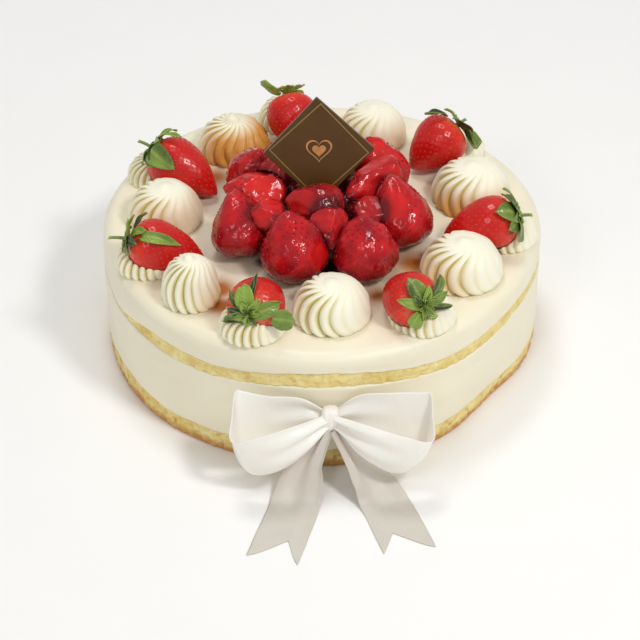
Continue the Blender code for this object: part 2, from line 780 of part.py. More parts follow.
def make_tail(build, side):
    """One tail of the bow, which falls to the surface and ends in a swallowtail."""
    stations = TAIL_STATIONS[side]
    near, notch, far = TAIL_ENDS[side]
    rows = []
    for step in range(TAIL_SAMPLES + 1):
        share = step / TAIL_SAMPLES
        rows.append([
            tail_point(stations, share * near, -1),
            tail_point(stations, share * notch, NOTCH_PLACE[side] * share),
            tail_point(stations, share * far, 1),
        ])
    add_ribbon(build, f"bow_tail_{side}", rows)


def main():
    """Build every piece of the cake in one collection."""
    clear_scene()
    materials = make_materials()
    collection = bpy.data.collections.new(OBJECT_NAME)
    bpy.context.scene.collection.children.link(collection)

    def build(name, mesh, finish):
        return add_object(name, mesh, materials[finish], collection)

    make_bottom_sponge(build)
    make_lower_cream(build)
    make_middle_sponge(build)
    make_top_cream(build)
    for index, swirl in enumerate(BARE_SWIRLS):
        make_bare_swirl(build, f"rosette_{index + 1}", swirl)
    make_ring_berries(build)
    make_heap(build)
    make_plaque(build)
    make_knot(build)
    for side in ("left", "right"):
        make_loop(build, side)
        make_tail(build, side)


main()
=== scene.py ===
"""Looks of a strawberry shortcake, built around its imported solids.

Every length is in metres and every angle in degrees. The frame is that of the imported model:
the origin is the middle of the cake's base, +Z is up and the bow is at the front, towards -Y.
"""

import logging
import math
from dataclasses import dataclass, field
from enum import Enum
from typing import Callable, Optional, Sequence

import bpy
import numpy as np
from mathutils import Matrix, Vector
from mathutils.kdtree import KDTree


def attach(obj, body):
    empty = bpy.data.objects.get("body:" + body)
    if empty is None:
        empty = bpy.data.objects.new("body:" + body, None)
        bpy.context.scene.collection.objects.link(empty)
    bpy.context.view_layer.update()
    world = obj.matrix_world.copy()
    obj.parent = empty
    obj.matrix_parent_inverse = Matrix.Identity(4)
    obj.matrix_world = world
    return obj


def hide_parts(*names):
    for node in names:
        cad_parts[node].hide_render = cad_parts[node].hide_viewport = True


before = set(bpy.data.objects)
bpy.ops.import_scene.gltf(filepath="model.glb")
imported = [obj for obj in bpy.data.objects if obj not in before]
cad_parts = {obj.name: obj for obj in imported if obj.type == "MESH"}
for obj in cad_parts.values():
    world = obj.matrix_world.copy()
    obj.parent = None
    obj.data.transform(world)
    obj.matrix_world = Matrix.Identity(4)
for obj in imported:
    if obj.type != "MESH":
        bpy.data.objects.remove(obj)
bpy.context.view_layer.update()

log = logging.getLogger("shortcake")
Array = np.ndarray
BODY = "root"
MM = 0.001
MIX_A, MIX_B, MIX_RESULT = 6, 7, 2  # colour sockets of a Mix node


class Slot(Enum):
    """Material slots."""

    SPONGE = "sponge"
    ICING = "icing"
    PIPED_CREAM = "piped_cream"
    BERRY = "berry"
    GLAZED_BERRY = "glazed_berry"
    LEAF = "leaf"
    CHOCOLATE = "chocolate"
    RIBBON = "ribbon"


class Side(Enum):
    """The two sides of the bow, as the viewer sees them."""

    LEFT = "left"
    RIGHT = "right"


def linear(code: str) -> tuple[float, float, float, float]:
    """Turn an sRGB hex colour into linear values.

    Args:
        code: Six hex digits.

    Returns:
        Red, green, blue and an alpha of 1.
    """
    values = []
    for start in (0, 2, 4):
        share = int(code[start:start + 2], 16) / 255
        values.append(share / 12.92 if share <= 0.04045 else ((share + 0.055) / 1.055) ** 2.4)
    return (*values, 1.0)


def add(tree: bpy.types.NodeTree, kind: str, settings: Optional[dict] = None,
        links: Optional[dict] = None) -> bpy.types.Node:
    """Add a node with its settings and links.

    Args:
        tree: The node tree that it goes in.
        kind: The node's type name.
        settings: Values by property name, or by the name or number of an input.
        links: Output sockets by the name or number of the input that they feed.

    Returns:
        The new node.
    """
    node = tree.nodes.new(kind)
    for key, value in (settings or {}).items():
        if isinstance(key, str) and hasattr(node, key):
            setattr(node, key, value)
        else:
            node.inputs[key].default_value = value
    for key, source in (links or {}).items():
        tree.links.new(source, node.inputs[key])
    return node


def unit(vectors: Array) -> Array:
    """Scale vectors to a length of 1."""
    return vectors / np.maximum(np.linalg.norm(vectors, axis=-1, keepdims=True), 1e-12)


def ease(values: Array, low: float, high: float) -> Array:
    """Rise smoothly from 0 at a low value to 1 at a high one."""
    share = np.clip((values - low) / (high - low), 0, 1)
    return share * share * (3 - 2 * share)


def bump(angle: Array, centre: float, spread: float) -> Array:
    """A smooth hill of height 1 at an angle, falling off over a spread."""
    return np.exp(-(((angle - centre + 180) % 360 - 180) / spread) ** 2)


def ripple(points: Array, size: float, seed: int, waves: int = 24) -> Array:
    """Smooth random relief, mostly between -1 and 1.

    Args:
        points: Places in metres, one row each.
        size: Length of a typical swell in metres.
        seed: Start of the random draw.
        waves: How many plane waves are added up.

    Returns:
        One value for each place.
    """
    draw = np.random.default_rng(seed)
    ways = unit(draw.normal(size=(waves, points.shape[-1]))) * draw.uniform(0.6, 1.4, (waves, 1))
    phases = draw.uniform(0, 2 * math.pi, waves)
    total = np.cos(points @ ways.T * (2 * math.pi / size) + phases).sum(-1)
    return np.clip(total * math.sqrt(2 / waves) / 2, -1.2, 1.2)


def nearest(points: Array, centres: Array) -> tuple[Array, Array]:
    """Find the nearest centre to each point.

    Args:
        points: Places to look from, one row each.
        centres: Places to find.

    Returns:
        The number of the nearest centre and the distance to it, for each point.
    """
    tree = KDTree(len(centres))
    for index, centre in enumerate(centres):
        tree.insert(centre, index)
    tree.balance()
    found = [tree.find(point) for point in points]
    return np.array([hit[1] for hit in found]), np.array([hit[2] for hit in found])


def around(angle: Array, radius: Array, height: Array) -> Array:
    """Points at angles, radii and heights."""
    turn = np.radians(angle)
    return np.stack(np.broadcast_arrays(radius * np.cos(turn), radius * np.sin(turn), height), -1)


def grid_normals(grid: Array) -> Array:
    """Outward normals of a grid of points that closes on itself along its columns."""
    down = np.gradient(grid, axis=0)
    side = np.roll(grid, -1, axis=1) - np.roll(grid, 1, axis=1)
    return unit(np.cross(side, down))


@dataclass
class Body:
    """Points and faces of one mesh, with values stored at its points."""

    points: Array
    faces: list
    values: dict = field(default_factory=dict)

    @staticmethod
    def tube(grid: Array, low: Optional[Array] = None, high: Optional[Array] = None) -> "Body":
        """Join closed rings and cap both ends with fans.

        Args:
            grid: Rings from low to high, each counter-clockwise seen from the high end.
            low: Middle of the low cap; the mean of the first ring if left out.
            high: Middle of the high cap; the mean of the last ring if left out.

        Returns:
            The closed body.
        """
        rows, columns = grid.shape[:2]
        low = grid[0].mean(0) if low is None else low
        high = grid[-1].mean(0) if high is None else high
        points = np.vstack([grid.reshape(-1, 3), low, high])
        here = np.arange(columns)
        after = (here + 1) % columns
        faces = []
        for row in range(rows - 1):
            base = row * columns
            quads = np.stack([base + here, base + after, base + columns + after, base + columns + here], 1)
            faces += quads.tolist()
        last = (rows - 1) * columns
        faces += np.stack([after, here, np.full(columns, len(points) - 2)], 1).tolist()
        faces += np.stack([last + here, last + after, np.full(columns, len(points) - 1)], 1).tolist()
        return Body(points, faces)

    @staticmethod
    def strip(grid: Array) -> "Body":
        """Join rows of points into an open sheet."""
        rows, columns = grid.shape[:2]
        corner = (np.arange(rows - 1)[:, None] * columns + np.arange(columns - 1)).ravel()
        quads = np.stack([corner, corner + 1, corner + columns + 1, corner + columns], 1)
        return Body(grid.reshape(-1, 3), quads.tolist())

    @staticmethod
    def joined(bodies: Sequence["Body"]) -> "Body":
        """Put several bodies into one mesh, with their stored values."""
        points, faces, count = [], [], 0
        for body in bodies:
            faces += [[corner + count for corner in face] for face in body.faces]
            points.append(body.points)
            count += len(body.points)
        names = bodies[0].values
        values = {name: np.concatenate([body.values[name] for body in bodies]) for name in names}
        return Body(np.vstack(points), faces, values)

    def keep(self, name: str, values: Array) -> "Body":
        """Store one value for each point; the middles of a tube's caps take the first and last one."""
        flat = np.asarray(values, float).ravel()
        if len(flat) < len(self.points):
            flat = np.concatenate([flat, flat[:1], flat[-1:]])
        self.values[name] = flat
        return self

    def piece(self, name: str, material: bpy.types.Material, sharp: Optional[float] = None,
              thickness: Optional[float] = None) -> bpy.types.Object:
        """Make the shown object.

        Args:
            name: Its name.
            material: Its one material.
            sharp: Angle between faces up to which it is shaded smooth; all of it if left out.
            thickness: What an open sheet is thickened to, half to each side.

        Returns:
            The object.
        """
        mesh = bpy.data.meshes.new(name)
        mesh.from_pydata(self.points.tolist(), [], self.faces)
        for key, values in self.values.items():
            stored = mesh.attributes.new(key, "FLOAT", "POINT")
            stored.data.foreach_set("value", values.astype(np.float32))
        mesh.materials.append(material)
        mesh.shade_smooth()
        if sharp is not None:
            mesh.set_sharp_from_angle(angle=math.radians(sharp))
        shown = bpy.data.objects.new(name, mesh)
        bpy.context.scene.collection.objects.link(shown)
        if thickness is not None:
            thick = shown.modifiers.new("thickness", "SOLIDIFY")
            thick.thickness = thickness
            thick.offset = 0
        return shown


def seat(piece: bpy.types.Object, slot: Slot, *nodes: str) -> bpy.types.Object:
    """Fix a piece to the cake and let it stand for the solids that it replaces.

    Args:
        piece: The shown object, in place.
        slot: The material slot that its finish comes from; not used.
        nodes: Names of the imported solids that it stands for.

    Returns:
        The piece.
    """
    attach(piece, BODY)
    if nodes:
        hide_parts(*nodes)
    log.info("%s: %d points, for %s", piece.name, len(piece.data.vertices), ", ".join(nodes) or "no solid")
    return piece


@dataclass(frozen=True)
class Grain:
    """A fine uneven grain that raises a surface.

    The size is that of one lump, the strength and the depth are those of the relief, and the
    stretch is the grain's scale along each axis.
    """

    size: float
    strength: float
    depth: float
    detail: float = 2.0
    stretch: tuple = (1.0, 1.0, 1.0)

    def height(self, tree: bpy.types.NodeTree, place: bpy.types.NodeSocket) -> bpy.types.NodeSocket:
        """Uneven lumps."""
        along = add(tree, "ShaderNodeMapping", {"Scale": self.stretch}, {"Vector": place})
        lumps = add(tree, "ShaderNodeTexNoise", {"Scale": 1 / self.size, "Detail": self.detail},
                    {"Vector": along.outputs["Vector"]})
        return lumps.outputs["Fac"]


@dataclass(frozen=True)
class Holes(Grain):
    """Round holes side by side, as in crumb."""

    def height(self, tree: bpy.types.NodeTree, place: bpy.types.NodeSocket) -> bpy.types.NodeSocket:
        """Distance from the middle of each hole."""
        holes = add(tree, "ShaderNodeTexVoronoi", {"Scale": 1 / self.size}, {"Vector": place})
        return holes.outputs["Distance"]


@dataclass(frozen=True)
class Waves(Grain):
    """Even waves, each as wide as the size, along a distance that is stored at the points."""

    stored: str = ""

    def height(self, tree: bpy.types.NodeTree, place: bpy.types.NodeSocket) -> bpy.types.NodeSocket:
        """A sine of the stored distance."""
        distance = add(tree, "ShaderNodeAttribute", {"attribute_name": self.stored})
        turns = add(tree, "ShaderNodeMath", {"operation": "MULTIPLY", 1: 2 * math.pi / self.size},
                    {0: distance.outputs["Fac"]})
        return add(tree, "ShaderNodeMath", {"operation": "SINE"}, {0: turns.outputs[0]}).outputs[0]


@dataclass(frozen=True)
class Tint:
    """A colour that covers a finish as far as a value stored at the points says, to a power."""

    stored: str
    colour: str
    power: float = 1.0


@dataclass(frozen=True)
class Finish:
    """A surface finish, made into one material that its pieces share.

    A second colour lies over the ground in soft patches of noise. Contrast and shift scale and
    move the noise, and so does a value stored at the points, where guide names one. Tints go
    over both, the grain raises the surface at the sockets that raised names, and constants are
    values that are the same all over.
    """

    name: str
    roughness: float
    ground: str
    second: str
    patch: float = 10 * MM
    detail: float = 2.0
    contrast: float = 1.0
    shift: float = 0.0
    guide: str = ""
    tints: tuple[Tint, ...] = ()
    grain: Optional[Grain] = None
    raised: tuple[str, ...] = ("Normal",)
    constants: tuple = ()

    def material(self) -> bpy.types.Material:
        """Make the material, or hand out the one that was made before."""
        made = bpy.data.materials.get(self.name)
        if made:
            return made
        made = bpy.data.materials.new(self.name)
        made.use_nodes = True
        tree = made.node_tree
        shader = tree.nodes["Principled BSDF"]
        place = add(tree, "ShaderNodeTexCoord").outputs["Object"]
        tree.links.new(self.colour(tree, place), shader.inputs["Base Color"])
        if self.grain:
            amounts = {"Strength": self.grain.strength, "Distance": self.grain.depth}
            relief = add(tree, "ShaderNodeBump", amounts, {"Height": self.grain.height(tree, place)})
            for socket in self.raised:
                tree.links.new(relief.outputs["Normal"], shader.inputs[socket])
        for socket, value in (("Roughness", self.roughness), *self.constants):
            shader.inputs[socket].default_value = value
        return made

    def colour(self, tree: bpy.types.NodeTree, place: bpy.types.NodeSocket) -> bpy.types.NodeSocket:
        """Patches of the second colour over the ground, then the tints."""
        patches = add(tree, "ShaderNodeTexNoise", {"Scale": 1 / self.patch, "Detail": self.detail},
                      {"Vector": place})
        amount = add(tree, "ShaderNodeMath", {"operation": "MULTIPLY_ADD", 1: self.contrast, 2: self.shift},
                     {0: patches.outputs["Fac"]})
        if self.guide:
            stored = add(tree, "ShaderNodeAttribute", {"attribute_name": self.guide})
            amount = add(tree, "ShaderNodeMath", {"operation": "ADD"},
                         {0: amount.outputs[0], 1: stored.outputs["Fac"]})
        body = add(tree, "ShaderNodeMix", {"data_type": "RGBA", MIX_A: linear(self.ground),
                                           MIX_B: linear(self.second)}, {0: amount.outputs[0]})
        for tint in self.tints:
            stored = add(tree, "ShaderNodeAttribute", {"attribute_name": tint.stored})
            share = add(tree, "ShaderNodeMath", {"operation": "POWER", 1: tint.power},
                        {0: stored.outputs["Fac"]})
            body = add(tree, "ShaderNodeMix", {"data_type": "RGBA", MIX_B: linear(tint.colour)},
                       {0: share.outputs[0], MIX_A: body.outputs[MIX_RESULT]})
        return body.outputs[MIX_RESULT]


@dataclass(frozen=True)
class SpreadCream(Finish):
    """Whipped dairy cream spread with a palette knife.

    Milk fat scatters light just under the surface, so it is a soft ivory with buttery clouds and
    no hard gloss. Fine knife lines run round the side. Juice and a painted red reflection tint it
    where berries lie, amber marks of juice and painted shadow lie beside berries and rosettes,
    and painted shade darkens it in the gaps of the heap.
    """

    name: str = "whipped_cream_spread"
    roughness: float = 0.42
    ground: str = "F6F0DA"
    second: str = "F0E7CA"
    patch: float = 22 * MM
    detail: float = 3.0
    # The first tint is juice, painted red reflection of the berries and painted shadow; the second is
    # painted shade in the gaps of the heap
    tints: tuple[Tint, ...] = (Tint("juice_and_painted_light", "B0620E"), Tint("painted_gap_shade", "34060A"))
    grain: Optional[Grain] = Grain(2.4 * MM, 0.18, 0.25 * MM, 4.0, (0.12, 0.12, 1.0))
    constants: tuple = (
        ("Subsurface Weight", 0.12), ("Subsurface Radius", (1.0, 0.75, 0.5)), ("Subsurface Scale", 2.5 * MM),
    )


@dataclass(frozen=True)
class PipedCream(Finish):
    """Whipped cream pressed through a star nozzle.

    It is stiffer and richer than the spread cream: the ridges are pale and the valleys between
    them are painted a darker warm yellow as their shade, and tiny air bubbles take the shine off.
    Syrup, painted shadow and a painted red reflection tint it amber beside the berries.
    """

    name: str = "whipped_cream_piped"
    roughness: float = 0.46
    ground: str = "FBF7E0"
    # Yellow painted into the valleys as their shade
    second: str = "CFBE52"
    contrast: float = 0.0
    guide: str = "valley"
    tints: tuple[Tint, ...] = (Tint("juice_and_painted_light", "D89B48"),)
    grain: Optional[Grain] = Grain(0.7 * MM, 0.15, 0.12 * MM)
    constants: tuple = (
        ("Subsurface Weight", 0.12), ("Subsurface Radius", (1.0, 0.8, 0.45)), ("Subsurface Scale", 1.8 * MM),
    )


@dataclass(frozen=True)
class SpongeCrumb(Finish):
    """Baked egg sponge, cut clean at the side.

    Its egg yolk makes it pale yellow to gold, the crust is golden brown, and the open crumb is
    matt and full of small holes. The crust colour is also painted into the holes as their shade.
    """

    name: str = "egg_sponge_crumb"
    roughness: float = 0.9
    ground: str = "F6E9A6"
    second: str = "EAD07E"
    patch: float = 9 * MM
    detail: float = 4.0
    contrast: float = 1 / 0.3
    shift: float = -0.35 / 0.3
    tints: tuple[Tint, ...] = (Tint("crust_and_hole_shade", "CC9450"),)
    grain: Optional[Grain] = Holes(1.3 * MM, 0.3, 0.4 * MM)


@dataclass(frozen=True)
class BerrySkin(Finish):
    """Skin of a ripe fresh strawberry.

    The skin is thin and glossy, bright red at the tip, more orange on the shoulders and pale
    right under the crown, a little patchy, with a faint grain.
    """

    name: str = "strawberry_skin_fresh"
    roughness: float = 0.32
    ground: str = "C9100F"
    second: str = "EA341A"
    patch: float = 8 * MM
    detail: float = 3.0
    contrast: float = 0.5
    shift: float = -0.2
    guide: str = "unripe"
    tints: tuple[Tint, ...] = (Tint("unripe", "EE8A62", 5.0),)
    grain: Optional[Grain] = Grain(0.6 * MM, 0.12, 0.1 * MM)
    constants: tuple = (
        ("IOR", 1.38), ("Coat Weight", 0.3), ("Coat Roughness", 0.12), ("Coat IOR", 1.4),
        ("Subsurface Weight", 0.08), ("Subsurface Radius", (1.0, 0.2, 0.1)), ("Subsurface Scale", 1.5 * MM),
    )


@dataclass(frozen=True)
class GlazedFlesh(Finish):
    """Strawberries in a clear set fruit glaze.

    The wet glaze soaks in, so the red is deep crimson and the cut faces are brighter. The gaps
    between berries and their feet are painted nearly black as shade, and its lumpy clear coat
    breaks the lights into sparks.
    """

    name: str = "strawberry_glazed"
    roughness: float = 0.28
    ground: str = "940616"
    second: str = "C8121A"
    patch: float = 7 * MM
    detail: float = 3.0
    contrast: float = 1 / 0.3
    shift: float = -0.35 / 0.3
    tints: tuple[Tint, ...] = (Tint("cut", "E0221E"), Tint("painted_shade", "4E0610"))
    grain: Optional[Grain] = Grain(1.3 * MM, 0.36, 0.45 * MM, 4.0)
    raised: tuple[str, ...] = ("Normal", "Coat Normal")
    constants: tuple = (
        ("IOR", 1.36), ("Specular IOR Level", 0.2),
        ("Coat Weight", 0.8), ("Coat Roughness", 0.045), ("Coat IOR", 1.4),
    )


@dataclass(frozen=True)
class SeedHusk(Finish):
    """Dry husk of a strawberry seed: straw yellow to brown from one to the next, slightly shiny."""

    name: str = "strawberry_seed_husk"
    roughness: float = 0.4
    ground: str = "D2602F"
    second: str = "A83420"
    patch: float = 3 * MM


@dataclass(frozen=True)
class Sepal(Finish):
    """Fresh green leaf of a strawberry's crown.

    The upper side is mid green with a paler midrib and slanting side veins, slightly waxy, and
    each leaf is a little lighter or darker than the next. Painted shade darkens each leaf towards
    the stem and to one side.
    """

    name: str = "strawberry_leaf_fresh"
    roughness: float = 0.4
    ground: str = "25380F"
    second: str = "8BA83C"
    patch: float = 2.5 * MM
    contrast: float = 0.5
    shift: float = -0.25
    guide: str = "tone"
    tints: tuple[Tint, ...] = (Tint("rib", "B7C56E"),)
    grain: Optional[Grain] = Waves(1.6 * MM, 0.4, 0.12 * MM, stored="slant")
    constants: tuple = (("Coat Weight", 0.15),)


@dataclass(frozen=True)
class DarkChocolate(Finish):
    """Tempered dark chocolate, cast in a flat mould: satin brown, faint bloom, a fine grain."""

    name: str = "chocolate_dark_tempered"
    roughness: float = 0.36
    ground: str = "503210"
    second: str = "5E401A"
    detail: float = 4.0
    grain: Optional[Grain] = Grain(0.8 * MM, 0.08, 0.1 * MM)
    constants: tuple = (("Specular IOR Level", 0.3),)


@dataclass(frozen=True)
class CocoaButterPrint(Finish):
    """Coloured cocoa butter with metallic powder, printed on the chocolate: uneven copper gold."""

    name: str = "cocoa_butter_print_copper"
    roughness: float = 0.38
    ground: str = "E2A468"
    second: str = "B87A45"
    patch: float = 1.6 * MM
    detail: float = 3.0
    constants: tuple = (("Metallic", 0.45),)


@dataclass(frozen=True)
class PolyesterSatin(Finish):
    """Single-faced polyester satin ribbon, woven.

    Long floats of shiny yarn lie along the ribbon, so it is a warm white with broad soft
    highlights across its folds. The yarns are 0.15 mm apart, too fine to show, so the weave is
    drawn three times as coarse.
    """

    name: str = "polyester_satin_white"
    roughness: float = 0.38
    ground: str = "FDF9F2"
    second: str = "F7F0E6"
    patch: float = 12 * MM
    grain: Optional[Grain] = Waves(3 * 0.15 * MM, 0.08, 0.05 * MM, stored="across")
    constants: tuple = (
        ("Sheen Weight", 0.25), ("Sheen Roughness", 0.4), ("Specular IOR Level", 0.65),
        ("Subsurface Weight", 0.15), ("Subsurface Scale", 2.0 * MM),
    )


@dataclass(frozen=True)
class MattPaper(Finish):
    """Pale matt paper for the floor under the cake: nearly even white with a trace of fibre."""

    name: str = "paper_matt_pale"
    roughness: float = 0.85
    ground: str = "FCFBF9"
    second: str = "F9F8F6"
    patch: float = 30 * MM
    detail: float = 4.0


@dataclass(frozen=True)
class CakeShape:
    """The cake's outline: two sponges and two creams inside one slightly uneven side."""

    radius: float = 98.0 * MM
    height: float = 60.0 * MM
    base: float = 9.8 * MM
    band: float = 42.4 * MM
    band_depth: float = 6.2 * MM
    level_radius: float = 80.0 * MM
    rim_round: float = 6.0 * MM
    foot_round: float = 1.2 * MM
    side_wave: float = 0.6 * MM
    foot_dent: float = 6.5 * MM
    foot_dent_angle: float = -37.0
    foot_dent_spread: float = 17.0
    band_wave: float = 1.9 * MM
    band_waves: int = 5
    band_crest_angle: float = -90.0
    smear_angle: float = -157.0
    smear_spread: float = 14.0

    def side(self, angle: Array, height: Array) -> Array:
        """Radius of the side: a little uneven, and drawn in at the foot on one side."""
        turn = np.radians(angle)
        wave = self.side_wave * (np.sin(3 * turn + 0.4) + 0.6 * np.sin(7 * turn))
        dent = self.foot_dent * bump(angle, self.foot_dent_angle, self.foot_dent_spread)
        return self.radius + wave - dent * (1 - height / self.height)

    def base_top(self, angle: Array) -> Array:
        """Height at the side where the lower cream meets the bottom sponge."""
        turn = np.radians(angle)
        return self.base + 0.7 * MM * np.sin(4 * turn) + 0.5 * MM * np.sin(9 * turn + 1)

    def band_bottom(self, angle: Array) -> Array:
        """Height at the side of the middle sponge's lower edge."""
        wave = np.cos(np.radians(self.band_waves * (angle - self.band_crest_angle)))
        smear = 3.0 * MM * bump(angle, self.smear_angle, self.smear_spread)
        return self.band + self.band_wave * wave - smear

    def band_top(self, angle: Array) -> Array:
        """Height at the side of the middle sponge's upper edge."""
        depth = self.band_depth + 0.8 * MM * np.sin(np.radians(7 * angle))
        return self.band_bottom(angle) + depth - 5.0 * MM * bump(angle, self.smear_angle, self.smear_spread)


@dataclass(frozen=True)
class Berry:
    """A strawberry's form from its crown to its tip; thin is its height over its breadth."""

    crown: tuple[float, float, float]
    tip: tuple[float, float, float]
    radius: float
    thin: float = 1.0
    crown_power: float = 0.36
    tip_power: float = 0.78

    def axes(self) -> tuple[Array, float, Array, Array, Array]:
        """The crown, the length and the directions along, right and up."""
        crown, tip = np.array(self.crown), np.array(self.tip)
        along = unit(tip - crown)
        right = unit(np.cross(along, (0.0, 0.0, 1.0)))
        return crown, float(np.linalg.norm(tip - crown)), along, right, np.cross(right, along)

    def middle(self) -> Array:
        """A point well inside the berry."""
        crown, length, along, _, _ = self.axes()
        return crown + along * length * 0.45

    def profile(self, share: Array) -> Array:
        """Relative radius at a share of the way from crown to tip."""
        share = np.clip(share, 0, 1)
        widest = self.crown_power / (self.crown_power + self.tip_power)
        return (share / widest) ** self.crown_power * ((1 - share) / (1 - widest)) ** self.tip_power

    def skin(self, share: Array, turn: Array) -> Array:
        """Points of the skin at shares of the length and turns in degrees about the axis."""
        crown, length, along, right, up = self.axes()
        reach = self.radius * self.profile(share)
        across, over = reach * np.cos(np.radians(turn)), reach * np.sin(np.radians(turn)) * self.thin
        return crown + along * (length * share)[..., None] + right * across[..., None] + up * over[..., None]

    def inside(self, points: Array, room: float) -> Array:
        """Which points lie in the form, made larger all round by some room."""
        crown, length, along, right, up = self.axes()
        offset = points - crown
        share = (offset @ along + room) / (length + 2 * room)
        across = np.hypot(offset @ right, offset @ up / self.thin)
        return (share > 0) & (share < 1) & (across < self.radius * self.profile(share) + room)

    def distance(self, points: Array) -> Array:
        """Rough distance from points to the skin, negative inside."""
        crown, length, along, _, _ = self.axes()
        share = np.clip((points - crown) @ along / length, 0.15, 0.8)
        foot = crown + share[..., None] * along * length
        return np.linalg.norm(points - foot, axis=-1) - self.radius * self.profile(share)


@dataclass(frozen=True)
class SyrupAndShade:
    """Amber on one side of a rosette, most of all at its foot: partly syrup that has run there and
    partly painted shadow.

    The side is its direction, reach is how far past the middle it spreads, as a share of the
    radius, a strength above 1 keeps it full further up, and top is the share of the way up
    where it has faded out.
    """

    side: float = 0.0
    reach: float = 0.0
    strength: float = 0.0
    top: float = 0.7


@dataclass(frozen=True)
class Rosette:
    """A piped rosette: its place round the cake, its size and the turn of its ridges.

    The cap is the share of the way up where the ridges have faded, and drag is the share of
    their depth that is lost on the side where they smear.
    """

    angle: float
    ring: float
    radius: float
    height: float
    turn: float
    peak: float = 0.05
    ridges: int = 16
    ridge_depth: float = 0.15
    cap: float = 0.88
    drag: float = 0.92
    fullness: float = 0.72
    syrup_and_shade: SyrupAndShade = SyrupAndShade()

    def centre(self) -> Array:
        """The middle of the foot, seen from above."""
        return around(self.angle, self.ring, 0.0)

    def dome(self, points: Array, room: float, ground: float) -> Array:
        """Height over points of the rosette's form, made larger all round by some room.

        Args:
            points: Places, one row each.
            room: How much larger the form is taken.
            ground: Height of the surface that it stands on.

        Returns:
            One height for each place.
        """
        offset = np.linalg.norm(points[..., :2] - self.centre()[:2], axis=-1)
        share = np.clip(offset / (self.radius + room), 0, 1)
        rise = np.arccos(share ** (1 / self.fullness))
        return np.where(share < 1, ground + room + self.height * np.sin(rise), ground)


CAKE = CakeShape()
GROUND = CAKE.height + 0.3 * MM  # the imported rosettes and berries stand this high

# The amber on one side of a rosette is partly syrup and partly painted shadow of the heap, the plaque and
# the berries.
BARE_ROSETTES = (
    Rosette(69.7, 0.0715, 0.0162, 0.0163, 3, ridge_depth=0.07, syrup_and_shade=SyrupAndShade(-40, 0.35, 0.40)),
    Rosette(13.5, 0.0695, 0.0184, 0.0178, 8, syrup_and_shade=SyrupAndShade(-95, 0.40, 1.00, 0.62)),
    Rosette(-34, 0.0725, 0.0184, 0.0170, 0, syrup_and_shade=SyrupAndShade(190, 0.35, 0.45)),
    Rosette(-87.5, 0.0692, 0.0172, 0.0170, 5),
    Rosette(-135.6, 0.0800, 0.0130, 0.0205, 10, 0.09, 16, 0.20, 0.96, 0.80,
            syrup_and_shade=SyrupAndShade(5, 0.20, 0.55, 0.60)),
    Rosette(178, 0.0700, 0.0172, 0.0172, 2, syrup_and_shade=SyrupAndShade(-40, 1.00, 0.35, 0.90)),
    Rosette(124.5, 0.0705, 0.0172, 0.0150, 7, 0.16, 16, 0.17, 1.05, 0.55,
            syrup_and_shade=SyrupAndShade(-50, 0.70, 1.15, 0.98)),
)
PRESSED_ROSETTES = (
    Rosette(100, 0.0825, 0.0142, 0.0120, 4, 0.0, 22),
    Rosette(41, 0.0825, 0.0145, 0.0110, 9, 0.0, 22),
    Rosette(-9.5, 0.0825, 0.0142, 0.0105, 1, 0.0, 22),
    Rosette(-60, 0.0830, 0.0146, 0.0105, 6, 0.0, 22),
    Rosette(-111.5, 0.0835, 0.0146, 0.0105, 0, 0.0, 22),
    Rosette(-158, 0.0825, 0.0145, 0.0105, 3, 0.0, 22),
    Rosette(154, 0.0825, 0.0142, 0.0110, 8, 0.0, 22),
)
RING_BERRIES = (
    Berry((-0.0146, 0.0704, 0.0810), (-0.0099, 0.0510, 0.0640), 0.0115),
    Berry((0.0625, 0.0455, 0.0800), (0.0410, 0.0350, 0.0640), 0.0120),
    Berry((0.0845, -0.0188, 0.0745), (0.0535, -0.0180, 0.0645), 0.0118),
    Berry((0.0412, -0.0810, 0.0735), (0.0275, -0.0580, 0.0655), 0.0118),
    Berry((-0.0318, -0.0845, 0.0725), (-0.0228, -0.0580, 0.0655), 0.0122),
    Berry((-0.0835, -0.0325, 0.0740), (-0.0515, -0.0330, 0.0640), 0.0115),
    Berry((-0.0748, 0.0333, 0.0765), (-0.0470, 0.0165, 0.0635), 0.0121),
)
